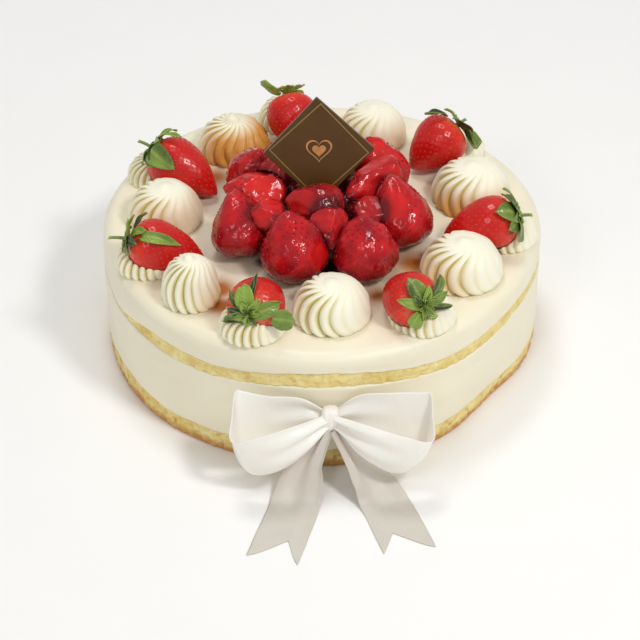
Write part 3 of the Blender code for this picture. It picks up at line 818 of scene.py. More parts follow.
HEAP_BERRIES = (
    Berry((-0.0108, -0.0425, 0.0610), (-0.0154, -0.0360, 0.0910), 0.0148),
    Berry((0.0192, -0.0415, 0.0608), (0.0164, -0.0370, 0.0892), 0.0140),
    Berry((-0.0348, -0.0290, 0.0620), (-0.0380, -0.0140, 0.0868), 0.0125),
    Berry((0.0385, -0.0232, 0.0625), (0.0290, -0.0045, 0.0882), 0.0132),
    Berry((0.0315, 0.0185, 0.0630), (0.0205, 0.0220, 0.0900), 0.0120),
    Berry((-0.0330, 0.0195, 0.0630), (-0.0275, 0.0140, 0.0890), 0.0115),
    Berry((0.0060, 0.0370, 0.0625), (0.0050, 0.0270, 0.0880), 0.0125),
    Berry((-0.0185, 0.0350, 0.0625), (-0.0150, 0.0250, 0.0840), 0.0105),
    Berry((0.0020, -0.0130, 0.0608), (0.0020, -0.0120, 0.0735), 0.0135),
    Berry((-0.0150, 0.0080, 0.0608), (-0.0130, 0.0080, 0.0730), 0.0130),
    Berry((0.0120, 0.0090, 0.0608), (0.0110, 0.0110, 0.0735), 0.0125),
    Berry((0.0090, -0.0178, 0.0785), (-0.0172, -0.0150, 0.0820), 0.0100),
    Berry((0.0020, -0.0245, 0.0830), (0.0040, -0.0405, 0.0735), 0.0088, 0.8),
    Berry((-0.0165, -0.0255, 0.0815), (-0.0345, -0.0245, 0.0795), 0.0078, 0.9),
    Berry((-0.0165, -0.0050, 0.0775), (-0.0440, 0.0000, 0.0785), 0.0102, 0.9),
    Berry((0.0335, 0.0105, 0.0825), (0.0105, -0.0120, 0.0805), 0.0086, 0.9),
    Berry((0.0270, -0.0195, 0.0775), (0.0108, -0.0175, 0.0790), 0.0072, 0.9),
    Berry((-0.0225, 0.0060, 0.0760), (-0.0150, 0.0040, 0.0930), 0.0080),
    Berry((0.0010, 0.0150, 0.0720), (0.0070, 0.0160, 0.0950), 0.0105),
)


def juice_and_painted_light(points: Array, reach: float) -> Array:
    """How strongly berry juice and a painted red reflection of the berries tint cream, from 0 to 1.

    Args:
        points: Places on the cream, one row each.
        reach: Distance over which the tint fades.

    Returns:
        One share for each place.
    """
    away = np.min([berry.distance(points) for berry in RING_BERRIES + HEAP_BERRIES], axis=0)
    return np.exp(-np.maximum(away, 0) / reach)


@dataclass(frozen=True)
class Layer:
    """A layer: its solid, the heights of its edges at an angle, and those of its level middle."""

    name: str
    bottom: Callable[[Array], Array]
    top: Callable[[Array], Array]
    low: float
    high: float


@dataclass
class Layers:
    """Two sponges and two bands of cream, one on the other.

    Amber marks on the icing, partly juice stains and partly painted shadow of the berries and
    rosettes beside them, and painted shade in the gaps of the heap, are each given by their
    middle, radius and strength, where one above 1 is full further out.
    """

    columns: int = 600
    sponge_columns: int = 1080
    lip: float = 0.9 * MM
    recess: float = 0.5 * MM
    hole_spacing: float = 1.7 * MM
    hole_depth: float = 0.35 * MM
    # Juice and a painted red reflection of the berries, beside every berry
    juice_and_light: float = 0.12
    juice_and_light_reach: float = 4.0 * MM
    top_depth: float = 3.0 * MM  # how far down from the top the juice, the painted shade and the swirl reach
    # Amber marks that are partly juice stains and partly painted shadow of the berries and rosettes beside
    # them
    stains_and_shadows: tuple = (
        (-0.0480, 0.0360, 0.008, 1.00), (0.0400, -0.0330, 0.011, 1.05), (-0.0450, -0.0500, 0.007, 1.30),
        (-0.0440, -0.0620, 0.006, 1.30), (0.0235, -0.0555, 0.007, 1.00), (0.0550, 0.0240, 0.007, 0.80),
        (0.0340, -0.0480, 0.009, 0.80),
    )
    # Painted shade in the gaps of the heap
    painted_gap_shades: tuple = ((0.0025, -0.0370, 0.0105, 1.10), (-0.0250, -0.0300, 0.0050, 0.90))

    def build(self) -> None:
        """Build all four layers."""
        band_top = CAKE.band + CAKE.band_depth
        self.sponge(Layer("bottom_sponge", np.zeros_like, CAKE.base_top, 0.0, CAKE.base), 18, 11)
        self.cream(Layer("lower_cream", CAKE.base_top, CAKE.band_bottom, CAKE.base, CAKE.band))
        self.sponge(Layer("middle_sponge", CAKE.band_bottom, CAKE.band_top, CAKE.band, band_top), 14, 12)
        self.icing(band_top)

    def ragged(self, heights: Callable[[Array], Array], angle: Array) -> Array:
        """A layer's edge with the unevenness of cut sponge and spread cream."""
        place = around(angle, CAKE.radius, 0.0)
        return heights(angle) + 0.35 * MM * ripple(place, 14 * MM, 3) + 0.18 * MM * ripple(place, 4 * MM, 4)

    def knife_marks(self, points: Array) -> Array:
        """Shallow marks that the palette knife leaves round the side."""
        long = ripple(points * (1, 1, 5), 70 * MM, 21)
        fine = ripple(points * (1, 1, 9), 30 * MM, 22)
        return 0.28 * MM * long + 0.10 * MM * fine

    def corner(self, angle: Array, edge: Array, radius: float, slopes: Array, way: int) -> Array:
        """Rings that round off an edge of the side.

        Args:
            angle: Directions of the points.
            edge: Height of the edge.
            radius: Radius of the rounding.
            slopes: How far the surface has turned to face up or down, one value a ring.
            way: 1 for a lower edge, -1 for an upper one.

        Returns:
            One ring of points for each slope.
        """
        turned = np.radians(slopes)[:, None]
        height = edge + way * radius * (1 - np.sin(turned))
        return around(angle, CAKE.side(angle, height) - radius * (1 - np.cos(turned)), height)

    def wall(self, low: Array, high: Array, angle: Array, steps: int) -> Array:
        """Rings up the side from a lower edge, rounded over a small lip, to near an upper one."""
        share = np.linspace(0, 1, steps + 2)[1:-1, None]
        height = low + self.lip + (high - low - 2 * self.lip) * share
        foot = self.corner(angle, low, self.lip, np.linspace(90, 0, 5), 1)
        return np.concatenate([foot, around(angle, CAKE.side(angle, height), height)])

    def level(self, angle: Array, height: float) -> Array:
        """The ring where a layer's level middle begins."""
        return around(angle, CAKE.level_radius, height)[None]

    def cream(self, layer: Layer) -> None:
        """Build a band of cream between two sponges."""
        angle = np.linspace(0, 360, self.columns, endpoint=False)
        foot, head = self.ragged(layer.bottom, angle), self.ragged(layer.top, angle)
        crown = self.corner(angle, head, self.lip, np.linspace(0, 90, 5), -1)
        grid = np.concatenate([self.wall(foot, head, angle, 26), crown])
        grid = grid + unit(grid * (1, 1, 0)) * self.knife_marks(grid)[..., None]
        grid = np.concatenate([self.level(angle, layer.low), grid, self.level(angle, layer.high)])
        seat(Body.tube(grid).piece(layer.name + "_looks", SpreadCream().material()), Slot.ICING, layer.name)

    def sponge(self, layer: Layer, rows: int, seed: int) -> None:
        """Build a sponge whose side is open crumb.

        Args:
            layer: Its name and heights; one that starts at 0 stands on the floor.
            rows: Rings of points up the side.
            seed: Start of the random draw.
        """
        angle = np.linspace(0, 360, self.sponge_columns, endpoint=False)
        standing = layer.low == 0.0
        foot = layer.bottom(angle) if standing else self.ragged(layer.bottom, angle)
        height = foot + (self.ragged(layer.top, angle) - foot) * np.linspace(0, 1, rows)[:, None]
        grid = around(angle, CAKE.side(angle, height) - self.recess, height)
        relief = self.crumb(grid, seed)
        if standing:
            rise = ease(height, 0, CAKE.foot_round)
            relief = relief * rise - CAKE.foot_round * (1 - rise) * 0.6
        grid = grid + unit(grid * (1, 1, 0)) * relief[..., None]
        crust_and_hole_shade = self.crust_and_pit_shade(grid, standing, relief)
        whole = np.concatenate([self.level(angle, layer.low), grid, self.level(angle, layer.high)])
        body = Body.tube(whole).keep("crust_and_hole_shade", np.concatenate([crust_and_hole_shade[:1], crust_and_hole_shade, crust_and_hole_shade[-1:]]))
        seat(body.piece(layer.name + "_looks", SpongeCrumb().material()), Slot.SPONGE, layer.name)

    def crumb(self, grid: Array, seed: int) -> Array:
        """Relief of open crumb: swells with round holes in them."""
        draw = np.random.default_rng(seed)
        rows, columns = grid.shape[:2]
        low, high = grid[..., 2].min(), grid[..., 2].max()
        count = int(2 * math.pi * CAKE.radius * (high - low) / self.hole_spacing ** 2)
        turn = draw.uniform(0, 360, count)
        height = draw.uniform(low, high, count)
        holes = around(turn, CAKE.side(turn, height) - self.recess, height)
        size = draw.uniform(0.4, 1.1, count) * self.hole_spacing / 1.6
        found, distance = nearest(grid.reshape(-1, 3), holes)
        pit = np.clip(1 - (distance / size[found]) ** 2, 0, 1).reshape(rows, columns)
        swell = 0.22 * MM * ripple(grid, 3.2 * MM, seed + 40) + 0.16 * MM * ripple(grid, 8 * MM, seed + 50)
        return swell - self.hole_depth * pit

    def crust_and_pit_shade(self, grid: Array, standing: bool, relief: Array) -> Array:
        """Share of golden-brown crust, strong at the foot and in flecks elsewhere, and of its colour painted
        into the holes as their shade.
        """
        flecks = ease(ripple(grid, 5 * MM, 61), 0.45, 1.0) * 0.6
        # Painted shade in the holes, in the crust colour
        holes = np.clip(-relief / self.hole_depth, 0, 1) * 0.35
        if not standing:
            return np.clip(0.25 * flecks + 0.6 * holes, 0, 1)
        foot = 1 - ease(grid[..., 2] + 1.2 * MM * ripple(grid, 9 * MM, 62), 0.8 * MM, 6.0 * MM)
        return np.clip(0.85 * foot + flecks + holes, 0, 1)

    def icing(self, low: float) -> None:
        """Build the icing over the top, with its rounded rim and smoothed top."""
        angle = np.linspace(0, 360, self.columns, endpoint=False)
        shoulder = CAKE.height - CAKE.rim_round
        wall = self.wall(self.ragged(CAKE.band_top, angle), shoulder + self.lip, angle, 6)
        rim = self.corner(angle, CAKE.height, CAKE.rim_round, np.linspace(0, 90, 12)[1:], -1)
        inward = np.linspace(1, 0.04, 46)[1:, None]
        top = around(angle, (CAKE.side(angle, CAKE.height) - CAKE.rim_round) * inward, CAKE.height)
        grid = np.concatenate([wall, rim, top])
        flat = ease(grid[..., 2], CAKE.height - self.top_depth, CAKE.height)
        swirl = 0.22 * MM * ripple(grid, 42 * MM, 31) + 0.10 * MM * ripple(grid, 15 * MM, 32) - 0.2 * MM
        grid = grid + unit(grid * (1, 1, 0)) * (self.knife_marks(grid) * (1 - flat))[..., None]
        grid[..., 2] += swirl * flat
        whole = np.concatenate([self.level(angle, low), grid])
        # Juice, painted red reflection and painted shadow on the top, and painted shade in the heap's gaps
        juice_and_light = self.juice_and_light * juice_and_painted_light(whole, self.juice_and_light_reach)
        juice_and_light = np.maximum(juice_and_light, self.marked(whole, self.stains_and_shadows, lambda away: np.exp(-away ** 2)))
        juice_and_light = juice_and_light * ease(whole[..., 2], CAKE.height - self.top_depth, CAKE.height)
        # Painted shade in the gaps of the heap
        gap_shade_share = self.marked(whole, self.painted_gap_shades, lambda away: 1 - ease(away, 0.6, 1.2))
        gap_shade_share = gap_shade_share * (whole[..., 2] > CAKE.height - self.top_depth)
        body = Body.tube(whole).keep("juice_and_painted_light", juice_and_light).keep("painted_gap_shade", gap_shade_share)
        seat(body.piece("top_cream_looks", SpreadCream().material()), Slot.ICING, "top_cream")

    def marked(self, points: Array, marks: tuple, fading: Callable[[Array], Array]) -> Array:
        """How strongly round marks cover points: the strongest mark at each, up to 1."""
        shares = [strength * fading(np.hypot(points[..., 0] - x, points[..., 1] - y) / radius)
                  for x, y, radius, strength in marks]
        return np.clip(np.max(shares, axis=0), 0, 1)


@dataclass
class RosetteRing:
    """Seven whole rosettes, and seven more that the ring's berries press down."""

    points_a_ridge: int = 10
    rows: int = 44
    crest: float = 0.62  # where a ridge is highest, from the valley on its left to that on its right
    valley_depth: float = 1.35
    unevenness: tuple = (0.7, 1.15)
    wander: float = 2.5
    twist: float = 36.0
    sway: float = 19.0
    pressed_sway: float = 0.3
    drag_angle: float = 205.0
    foot_tuck: float = 0.05
    peak_span: tuple = (0.88, 0.99)
    lean: float = 0.8 * MM
    swell: float = 0.22 * MM
    swell_length: float = 11 * MM
    sink: float = 0.5 * MM
    press_room: float = 0.2 * MM
    press_step: float = 0.15 * MM
    press_steps: int = 90
    bed: float = 1.0 * MM
    # Juice and a painted red reflection of the berries, on the rosettes beside them
    tint: float = 0.10
    pressed_tint: float = 0.12
    tint_reach: float = 3.0 * MM

    def build(self) -> None:
        """Build both kinds of rosette."""
        for index, rosette in enumerate(BARE_ROSETTES):
            self.bare(index + 1, rosette)
        for index, (rosette, berry) in enumerate(zip(PRESSED_ROSETTES, RING_BERRIES)):
            self.pressed(index + 1, rosette, berry)

    def surface(self, rosette: Rosette, levels: Array, seed: int, peaked: bool) -> tuple[Array, Array]:
        """Ridged rings of a rosette from its foot upward.

        Args:
            rosette: The rosette.
            levels: Shares of the way up the dome.
            seed: Start of the random draw.
            peaked: Whether it ends in a pulled-off peak.

        Returns:
            The rings of points, and the painted shade in the valleys at each, from 0 to 1.
        """
        draw = np.random.default_rng(seed)
        level = levels[:, None]
        ridge = np.arange(rosette.ridges * self.points_a_ridge) / self.points_a_ridge
        lobe = (ridge + 0.5) % 1.0
        flank = np.where(lobe < self.crest, lobe / self.crest, (1 - lobe) / (1 - self.crest))
        valley = 1 - np.sin(np.clip(flank, 0, 1) * math.pi / 2) ** 0.8
        own = self.by_ridge(ridge, draw.uniform(*self.unevenness, rosette.ridges))
        fade = 1 - 0.96 * ease(level, rosette.cap - 0.30, rosette.cap)
        fade = fade * (0.75 + 0.25 * ease(level, 0.0, 0.2))
        lee = np.cos(np.radians(360 * ridge / rosette.ridges + rosette.turn - self.drag_angle))
        fade = fade * (1 - rosette.drag * (1 - ease(lee, -0.40, 0.65)))
        depth = rosette.ridge_depth * self.valley_depth * own * fade
        rise = np.radians(90 * level)
        foot = 1 - self.foot_tuck * np.exp(-(level / 0.05) ** 2)
        reach = rosette.radius * np.cos(rise) ** rosette.fullness * foot * (1 - depth * valley)
        wander = self.by_ridge(ridge, draw.uniform(-self.wander, self.wander, rosette.ridges))
        sway = (self.sway * draw.uniform(0.8, 1.2) - wander) * (1.0 if peaked else self.pressed_sway)
        bend = self.twist * level ** 3 - sway * np.sin(math.pi * level ** 0.75)
        turn = 360 * ridge / rosette.ridges + rosette.turn + bend
        height = rosette.height * np.sin(rise)
        if peaked:
            height = height + rosette.peak * rosette.height * ease(level, *self.peak_span) ** 1.6
        grid = rosette.centre() + around(turn, reach, GROUND - self.sink * (1 - level) ** 6 + height)
        lean = draw.uniform(-1, 1, 2) * self.lean
        grid[..., :2] += lean * ease(level, 0.3, 1.0)[..., None]
        grid += (self.swell * ripple(grid, self.swell_length, seed + 70))[..., None] * (1, 1, 0.4)
        # Painted shade in the valleys, weaker where the ridges fade and on the side where they smear
        shade = np.exp(-(((lobe + 0.04) % 1.0 - 0.04) / 0.23) ** 2) + np.exp(-((1 - lobe) / 0.14) ** 2)
        return grid, np.clip(shade, 0, 1) * fade * (0.55 + 0.45 * own)

    def by_ridge(self, ridge: Array, values: Array) -> Array:
        """Blend one value for each ridge into the next, once round the rosette."""
        return np.interp(ridge, np.arange(len(values) + 1), np.append(values, values[0]))

    def bare(self, number: int, rosette: Rosette) -> None:
        """Build a whole rosette that ends in a small soft peak."""
        levels = 1 - (1 - np.linspace(0, 1, self.rows)) ** 1.25
        grid, valley = self.surface(rosette, np.minimum(levels, 0.985), number, True)
        peak = grid[-1].mean(0) + (0.2 * MM, -0.1 * MM, 0.2 * MM + 0.9 * rosette.peak * rosette.height)
        self.dress(rosette, grid, valley, peak, f"rosette_{number}", self.tint)

    def pressed(self, number: int, rosette: Rosette, berry: Berry) -> None:
        """Build a rosette whose top follows the berry that lies on it."""
        grid, valley = self.surface(rosette, np.linspace(0, 0.97, self.rows), number + 20, False)
        for _ in range(self.press_steps):
            deep = berry.inside(grid, self.press_room) & (grid[..., 2] > GROUND + self.bed)
            if not deep.any():
                break
            grid[..., 2] -= deep * self.press_step
        self.dress(rosette, grid, valley, grid[-1].mean(0), f"pressed_rosette_{number}", self.pressed_tint)

    def syrup_and_shade_share(self, rosette: Rosette, points: Array) -> Array:
        """How strongly a rosette's amber syrup and painted shadow colour points, from 0 to 1."""
        syrup_and_shade = rosette.syrup_and_shade
        offset = (points - rosette.centre()) @ around(syrup_and_shade.side, 1.0, 0.0) / rosette.radius
        level = np.arcsin(np.clip((points[..., 2] - GROUND) / rosette.height, 0, 1)) / (math.pi / 2)
        share = syrup_and_shade.strength * ease(offset, -syrup_and_shade.reach, 1.2 - syrup_and_shade.reach)
        return np.clip(share * (1 - ease(level, syrup_and_shade.top - 0.55, syrup_and_shade.top)), 0, 1)

    def dress(self, rosette: Rosette, grid: Array, valley: Array, peak: Array, node: str,
              tint: float) -> None:
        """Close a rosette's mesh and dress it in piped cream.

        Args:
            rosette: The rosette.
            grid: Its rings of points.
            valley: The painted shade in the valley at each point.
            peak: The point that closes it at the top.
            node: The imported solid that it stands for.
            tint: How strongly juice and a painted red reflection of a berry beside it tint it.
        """
        body = Body.tube(grid, high=peak).keep("valley", valley).keep("juice_and_painted_light", self.syrup_and_shade_share(rosette, grid))
        body.keep("juice_and_painted_light", np.maximum(body.values["juice_and_painted_light"], juice_and_painted_light(body.points, self.tint_reach) * tint))
        seat(body.piece(node + "_looks", PipedCream().material()), Slot.PIPED_CREAM, node)


@dataclass(frozen=True)
class SeedPattern:
    """Seeds over a berry, on a spiral that spaces them evenly."""

    spacing: float = 2.7 * MM
    spiral: float = 137.508
    first: float = 0.05
    last: float = 0.985
    length: float = 0.58 * MM
    breadth: float = 0.34 * MM
    thickness: float = 0.22 * MM

    def places(self, berry: Berry, phase: float) -> tuple[Array, Array]:
        """Shares of the length and turns of the seeds, as many as fit at the spacing."""
        _, length, _, _, _ = berry.axes()
        share = np.linspace(self.first, self.last, 200)
        radius = berry.radius * berry.profile(share)
        area = np.cumsum(2 * math.pi * radius * np.hypot(np.gradient(radius), np.gradient(share) * length))
        count = int(area[-1] / self.spacing ** 2)
        shares = np.interp((np.arange(count) + 0.5) / count * area[-1], area, share)
        return shares, np.arange(count) * self.spiral + phase

    def seeds(self, centres: Array, outward: Array, along: Array) -> Body:
        """Small pointed seeds that lie in their pits.

        Args:
            centres: Middles of the seeds.
            outward: Directions away from the skin.
            along: Directions in which the seeds point.

        Returns:
            All the seeds as one body.
        """
        turn = np.radians(np.arange(6) * 60)
        places, widths = np.array([-0.62, 0.0, 0.62])[:, None], np.array([0.72, 1.0, 0.62])[:, None]
        rings = np.broadcast_arrays(places, widths * np.cos(turn), widths * np.sin(turn))
        template = Body.tube(np.stack(rings, -1), np.array([-0.95, 0, 0]), np.array([1.25, 0, 0]))
        side = unit(np.cross(outward, along))
        along = unit(np.cross(side, outward))
        frame_of = np.stack([along * self.length, side * self.breadth, outward * self.thickness], 1)
        points = centres[:, None] + np.einsum("pk,nkd->npd", template.points, frame_of)
        return Body.joined([Body(seed, template.faces) for seed in points])


@dataclass
class BerryMaker:
    """Builds the skin of one berry, pitted for its seeds."""

    rows: int = 60
    columns: int = 88
    pit_depth: float = 0.34 * MM
    pit_radius: float = 0.85 * MM
    pattern: SeedPattern = SeedPattern()

    def grid(self, berry: Berry) -> tuple[Array, Array]:
        """Points over the berry, closer together towards crown and tip, and their shares."""
        share = (1 - np.cos(np.linspace(0.03, math.pi - 0.02, self.rows))) / 2
        turn = -np.linspace(0, 360, self.columns, endpoint=False)
        share, turn = np.meshgrid(share, turn, indexing="ij")
        return berry.skin(share, turn), share

    def pitted(self, berry: Berry, grid: Array, phase: float) -> tuple[Array, Array, Array, Array]:
        """Sink a pit for every seed.

        Args:
            berry: The berry's form.
            grid: Points of its smooth skin.
            phase: Turn of the first seed.

        Returns:
            The pitted points, and the seeds' middles, outward directions and lengthwise ones.
        """
        shares, turns = self.pattern.places(berry, phase)
        centres = berry.skin(shares, turns)
        step = berry.skin(np.minimum(shares + 0.01, 0.999), turns) - centres
        round_it = berry.skin(shares, turns + 2) - centres
        outward = unit(np.cross(step, round_it))
        outward *= np.sign(((centres - berry.middle()) * outward).sum(-1, keepdims=True))
        _, distance = nearest(grid.reshape(-1, 3), centres)
        pit = np.exp(-((distance / self.pit_radius) ** 2)).reshape(grid.shape[:2])
        normals = grid_normals(grid)
        normals *= np.sign(((grid - berry.middle()) * normals).sum(-1, keepdims=True))
        pitted = grid + normals * (0.10 * MM - self.pit_depth * pit)[..., None]
        return pitted, centres - outward * (self.pit_depth - 0.22 * MM), outward, step


def pushed_in(points: Array, middle: Array, blocked: Callable[[Array], Array]) -> tuple[Array, Array]:
    """Move points towards a middle until nothing blocks them.

    Args:
        points: Places, one row each.
        middle: The point that they move towards.
        blocked: Says which of some places are taken.

    Returns:
        The moved points and the share of the way that each one moved.
    """
    coarse, fine = 30, 8
    share = np.zeros(len(points))
    below = np.zeros(len(points))
    left = np.flatnonzero(blocked(points))
    for step in range(1, coarse + 1):
        if not len(left):
            break
        share[left] = step / coarse
        below[left] = (step - 1) / coarse
        moved = points[left] + (middle - points[left]) * share[left, None]
        left = left[blocked(moved)]
    moving = np.flatnonzero(share > 0)
    for _ in range(fine):
        half = (share[moving] + below[moving]) / 2
        taken = blocked(points[moving] + (middle - points[moving]) * half[:, None])
        below[moving] = np.where(taken, half, below[moving])
        share[moving] = np.where(taken, share[moving], half)
    return points + (middle - points) * share[:, None], share


@dataclass(frozen=True)
class Leaf:
    """A leaf of a crown.

    The angle is its direction round the stem, lift is how far its tip stands off, width is a
    share of its length, a small point makes the tip round, start is its distance from the stem,
    spread is 0 where it wraps the berry and 1 where it stays flat, and roll turns it about its
    own midrib, in degrees.
    """

    angle: float
    length: float
    lift: float
    width: float = 0.62
    tone: float = 0.5
    point: float = 0.6
    start: float = 0.5 * MM
    spread: float = 0.0
    roll: float = 0.0


@dataclass
class BerryRing:
    """Seven whole berries round the cake, each with its crown of leaves."""

    maker: BerryMaker = field(default_factory=BerryMaker)
    seed_turn: float = 40.0  # how far the seeds are turned from one berry to the next
    seed_room: float = 0.4 * MM
    swell: float = 0.25 * MM
    swell_length: float = 13 * MM
    bed: float = 3.7 * MM
    bed_margin: float = 5.0 * MM
    leaf_gap: float = 0.7 * MM
    leaf_thickness: float = 0.35 * MM
    leaf_rows: int = 16
    leaf_columns: int = 9
    small_lift: float = 1.8 * MM
    stem_radius: float = 0.9 * MM
    stem_points: int = 12
    stem_lengths: tuple = (0.003, 0.004, 0.006, 0.008, 0.004, 0.008, 0.008)
    crowns: tuple = (
        (
            Leaf(11, 0.0120, 0.0070, 1.05, 0.45, 0.30, 4.0 * MM, 1.0), Leaf(95, 0.008, 0.003, 0.55, 1.1),
            Leaf(140, 0.009, 0.003, 0.50, 1.2, 0.5, spread=0.5), Leaf(200, 0.008, 0.002, 0.5, 1.0),
            Leaf(60, 0.0075, 0.003, 0.6, 1.1),
        ), (
            Leaf(86, 0.0165, 0.0050, 0.34, 0.1, 0.7, 8.5 * MM),
            Leaf(120, 0.0120, 0.003, 0.30, 0.2, 0.7, spread=0.4),
            Leaf(228, 0.0145, 0.0010, 0.70, 0.65, 0.35, 1.0 * MM, 0.8, 60),
            Leaf(170, 0.0125, 0.0060, 0.34, 0.15, 0.7, spread=0.4),
            Leaf(208, 0.0120, 0.0020, 0.55, 0.55, 0.5, spread=0.5),
            Leaf(250, 0.0100, 0.002, 0.66, 0.6, 0.6, spread=0.6), Leaf(20, 0.009, 0.003, 0.5, 0.6),
        ), (
            Leaf(-10, 0.010, 0.003, 0.65, 0.5), Leaf(45, 0.012, 0.003, 0.55, 0.35),
            Leaf(92, 0.0120, 0.003, 0.5, 0.4), Leaf(128, 0.0150, 0.002, 0.62, 0.3),
            Leaf(168, 0.0120, 0.002, 0.60, 0.55), Leaf(206, 0.0125, 0.002, 0.66, 0.75, 0.5, spread=0.5),
        ), (
            Leaf(12, 0.0105, 0.004, 0.45, 0.8, 0.8), Leaf(38, 0.0130, 0.004, 0.34, 0.05),
            Leaf(72, 0.0080, 0.003, 0.5, 1.0), Leaf(106, 0.0125, 0.002, 0.66, 0.35, 0.5, 2.0 * MM),
            Leaf(152, 0.0115, 0.002, 0.40, 0.95, 0.7), Leaf(128, 0.0075, 0.004, 0.30, 0.0, 0.8),
            Leaf(222, 0.0105, 0.001, 0.95, 0.50, 0.3, 3.5 * MM, 0.6), Leaf(295, 0.0095, 0.003, 0.35, 0.9),
            Leaf(-18, 0.0140, 0.003, 0.22, 0.2, 0.7, spread=0.6),
        ), (
            Leaf(3, 0.0205, -0.004, 0.95, 0.65, 0.3, 10.5 * MM, 1.0), Leaf(27, 0.0135, 0.002, 0.48, 0.45),
            Leaf(88, 0.0160, 0.004, 0.26, 0.0, 0.8, 7.5 * MM), Leaf(106, 0.0120, 0.002, 0.66, 0.75, 0.45),
            Leaf(140, 0.0120, 0.002, 0.30, 0.0, 0.7), Leaf(206, 0.0105, 0.003, 0.55, 0.05),
            Leaf(60, 0.0085, 0.003, 0.40, 1.0), Leaf(170, 0.0080, 0.003, 0.50, 0.1),
            Leaf(262, 0.0070, 0.002, 0.50, 0.9),
        ), (
            Leaf(-6, 0.009, 0.002, 0.55, 0.3), Leaf(50, 0.0285, 0.0005, 0.37, 0.55, 0.6, 11.0 * MM),
            Leaf(30, 0.0110, 0.002, 0.40, 0.1), Leaf(84, 0.0165, 0.006, 0.40, 0.15, 0.6, 7.5 * MM, 0.35),
            Leaf(78, 0.0095, 0.006, 0.60, 1.0, 0.6, 2.5 * MM, 0.35),
            Leaf(60, 0.0130, 0.002, 0.50, 1.0, 0.6, 6.0 * MM),
            Leaf(134, 0.009, 0.003, 0.62, 0.9), Leaf(184, 0.009, 0.002, 0.62, 0.5),
        ), (
            Leaf(-8, 0.010, 0.002, 0.5, 0.3), Leaf(37, 0.0235, 0.0005, 0.55, 0.30, 0.4, 4.5 * MM),
            Leaf(14, 0.0150, 0.0015, 0.40, 0.15, 0.6, 3.0 * MM),
            Leaf(88, 0.0230, 0.001, 0.16, 1.3, 0.6, 3.0 * MM, 0.35),
            Leaf(66, 0.0110, 0.002, 0.40, 0.9), Leaf(118, 0.013, 0.002, 0.22, 0.9),
            Leaf(150, 0.010, 0.004, 0.4, 0.6), Leaf(192, 0.009, 0.003, 0.5, 0.5),
        ),
    )

    def build(self) -> None:
        """Build the berries, their seeds and their leaves."""
        seeds = []
        for index, berry in enumerate(RING_BERRIES):
            seeds.append(self.berry(index + 1, berry, PRESSED_ROSETTES[index]))
            self.calyx(index + 1, berry, self.crowns[index], self.stem_lengths[index])
        piece = Body.joined(seeds).piece("ring_berry_seeds", SeedHusk().material())
        seat(piece, Slot.BERRY)

    def berry(self, number: int, berry: Berry, under: Rosette) -> Body:
        """Build one berry's skin and return its seeds."""
        grid, share = self.maker.grid(berry)
        pitted, centres, outward, along = self.maker.pitted(berry, grid, self.seed_turn * number)
        swell = self.swell * ripple(pitted, self.swell_length, number + 300)
        pitted = pitted + unit(pitted - berry.middle()) * swell[..., None]
        pitted[..., 2] = np.maximum(pitted[..., 2], self.floor(pitted, under))
        body = Body.tube(pitted).keep("unripe", np.clip(1 - share / 0.28, 0, 1) ** 1.2)
        seat(body.piece(f"berry_{number}_skin", BerrySkin().material()), Slot.BERRY, f"berry_{number}")
        lying = centres[:, 2] > self.floor(centres, under) + self.seed_room
        return self.maker.pattern.seeds(centres[lying], outward[lying], along[lying])

    def floor(self, points: Array, under: Rosette) -> Array:
        """The lowest height allowed at points: the icing, or the rosette that is the bed."""
        away = np.linalg.norm(points[..., :2] - under.centre()[:2], axis=-1)
        return np.where(away > under.radius + self.bed_margin, GROUND, GROUND + self.bed)

    def on_crown(self, berry: Berry, leaf: Leaf, out: Array, side: Array, lift: Array) -> Array:
        """Wrap a flat leaf over a berry's crown.

        Args:
            berry: The berry under the leaf.
            leaf: The leaf's direction, and how flat it stays.
            out: Distances from the stem along the leaf's middle.
            side: Distances across the leaf.
            lift: Heights above the skin.

        Returns:
            Points of the leaf, clear of the rosettes.
        """
        crown, length, along, right, up = berry.axes()
        reach = np.hypot(out, side)
        turn = np.radians(leaf.angle) + np.arctan2(side, out)
        share = 0.6 * np.linspace(0, 1, 200) ** 2
        radius = berry.radius * berry.profile(share)
        walked = np.concatenate([[0], np.cumsum(np.hypot(np.diff(radius), np.diff(share) * length))])
        here = np.interp(reach, walked, share)
        wide = np.interp(reach, walked, radius)
        slope = np.gradient(radius, walked)
        rise = np.interp(reach, walked, slope)
        fall = np.sqrt(np.clip(1 - rise ** 2, 0, 1))
        outward = right * np.cos(turn)[..., None] + up * np.sin(turn)[..., None]
        points = crown + along * (length * here)[..., None] + outward * wide[..., None]
        points = points + (outward * fall[..., None] - along * rise[..., None]) * lift[..., None]
        level = crown + outward * reach[..., None] - along * lift[..., None]
        points = points + (level - points) * leaf.spread
        rosettes = BARE_ROSETTES + PRESSED_ROSETTES
        ground = np.max([rosette.dome(points, self.leaf_gap, GROUND) for rosette in rosettes], axis=0)
        points[..., 2] = np.maximum(points[..., 2], ground)
        return points

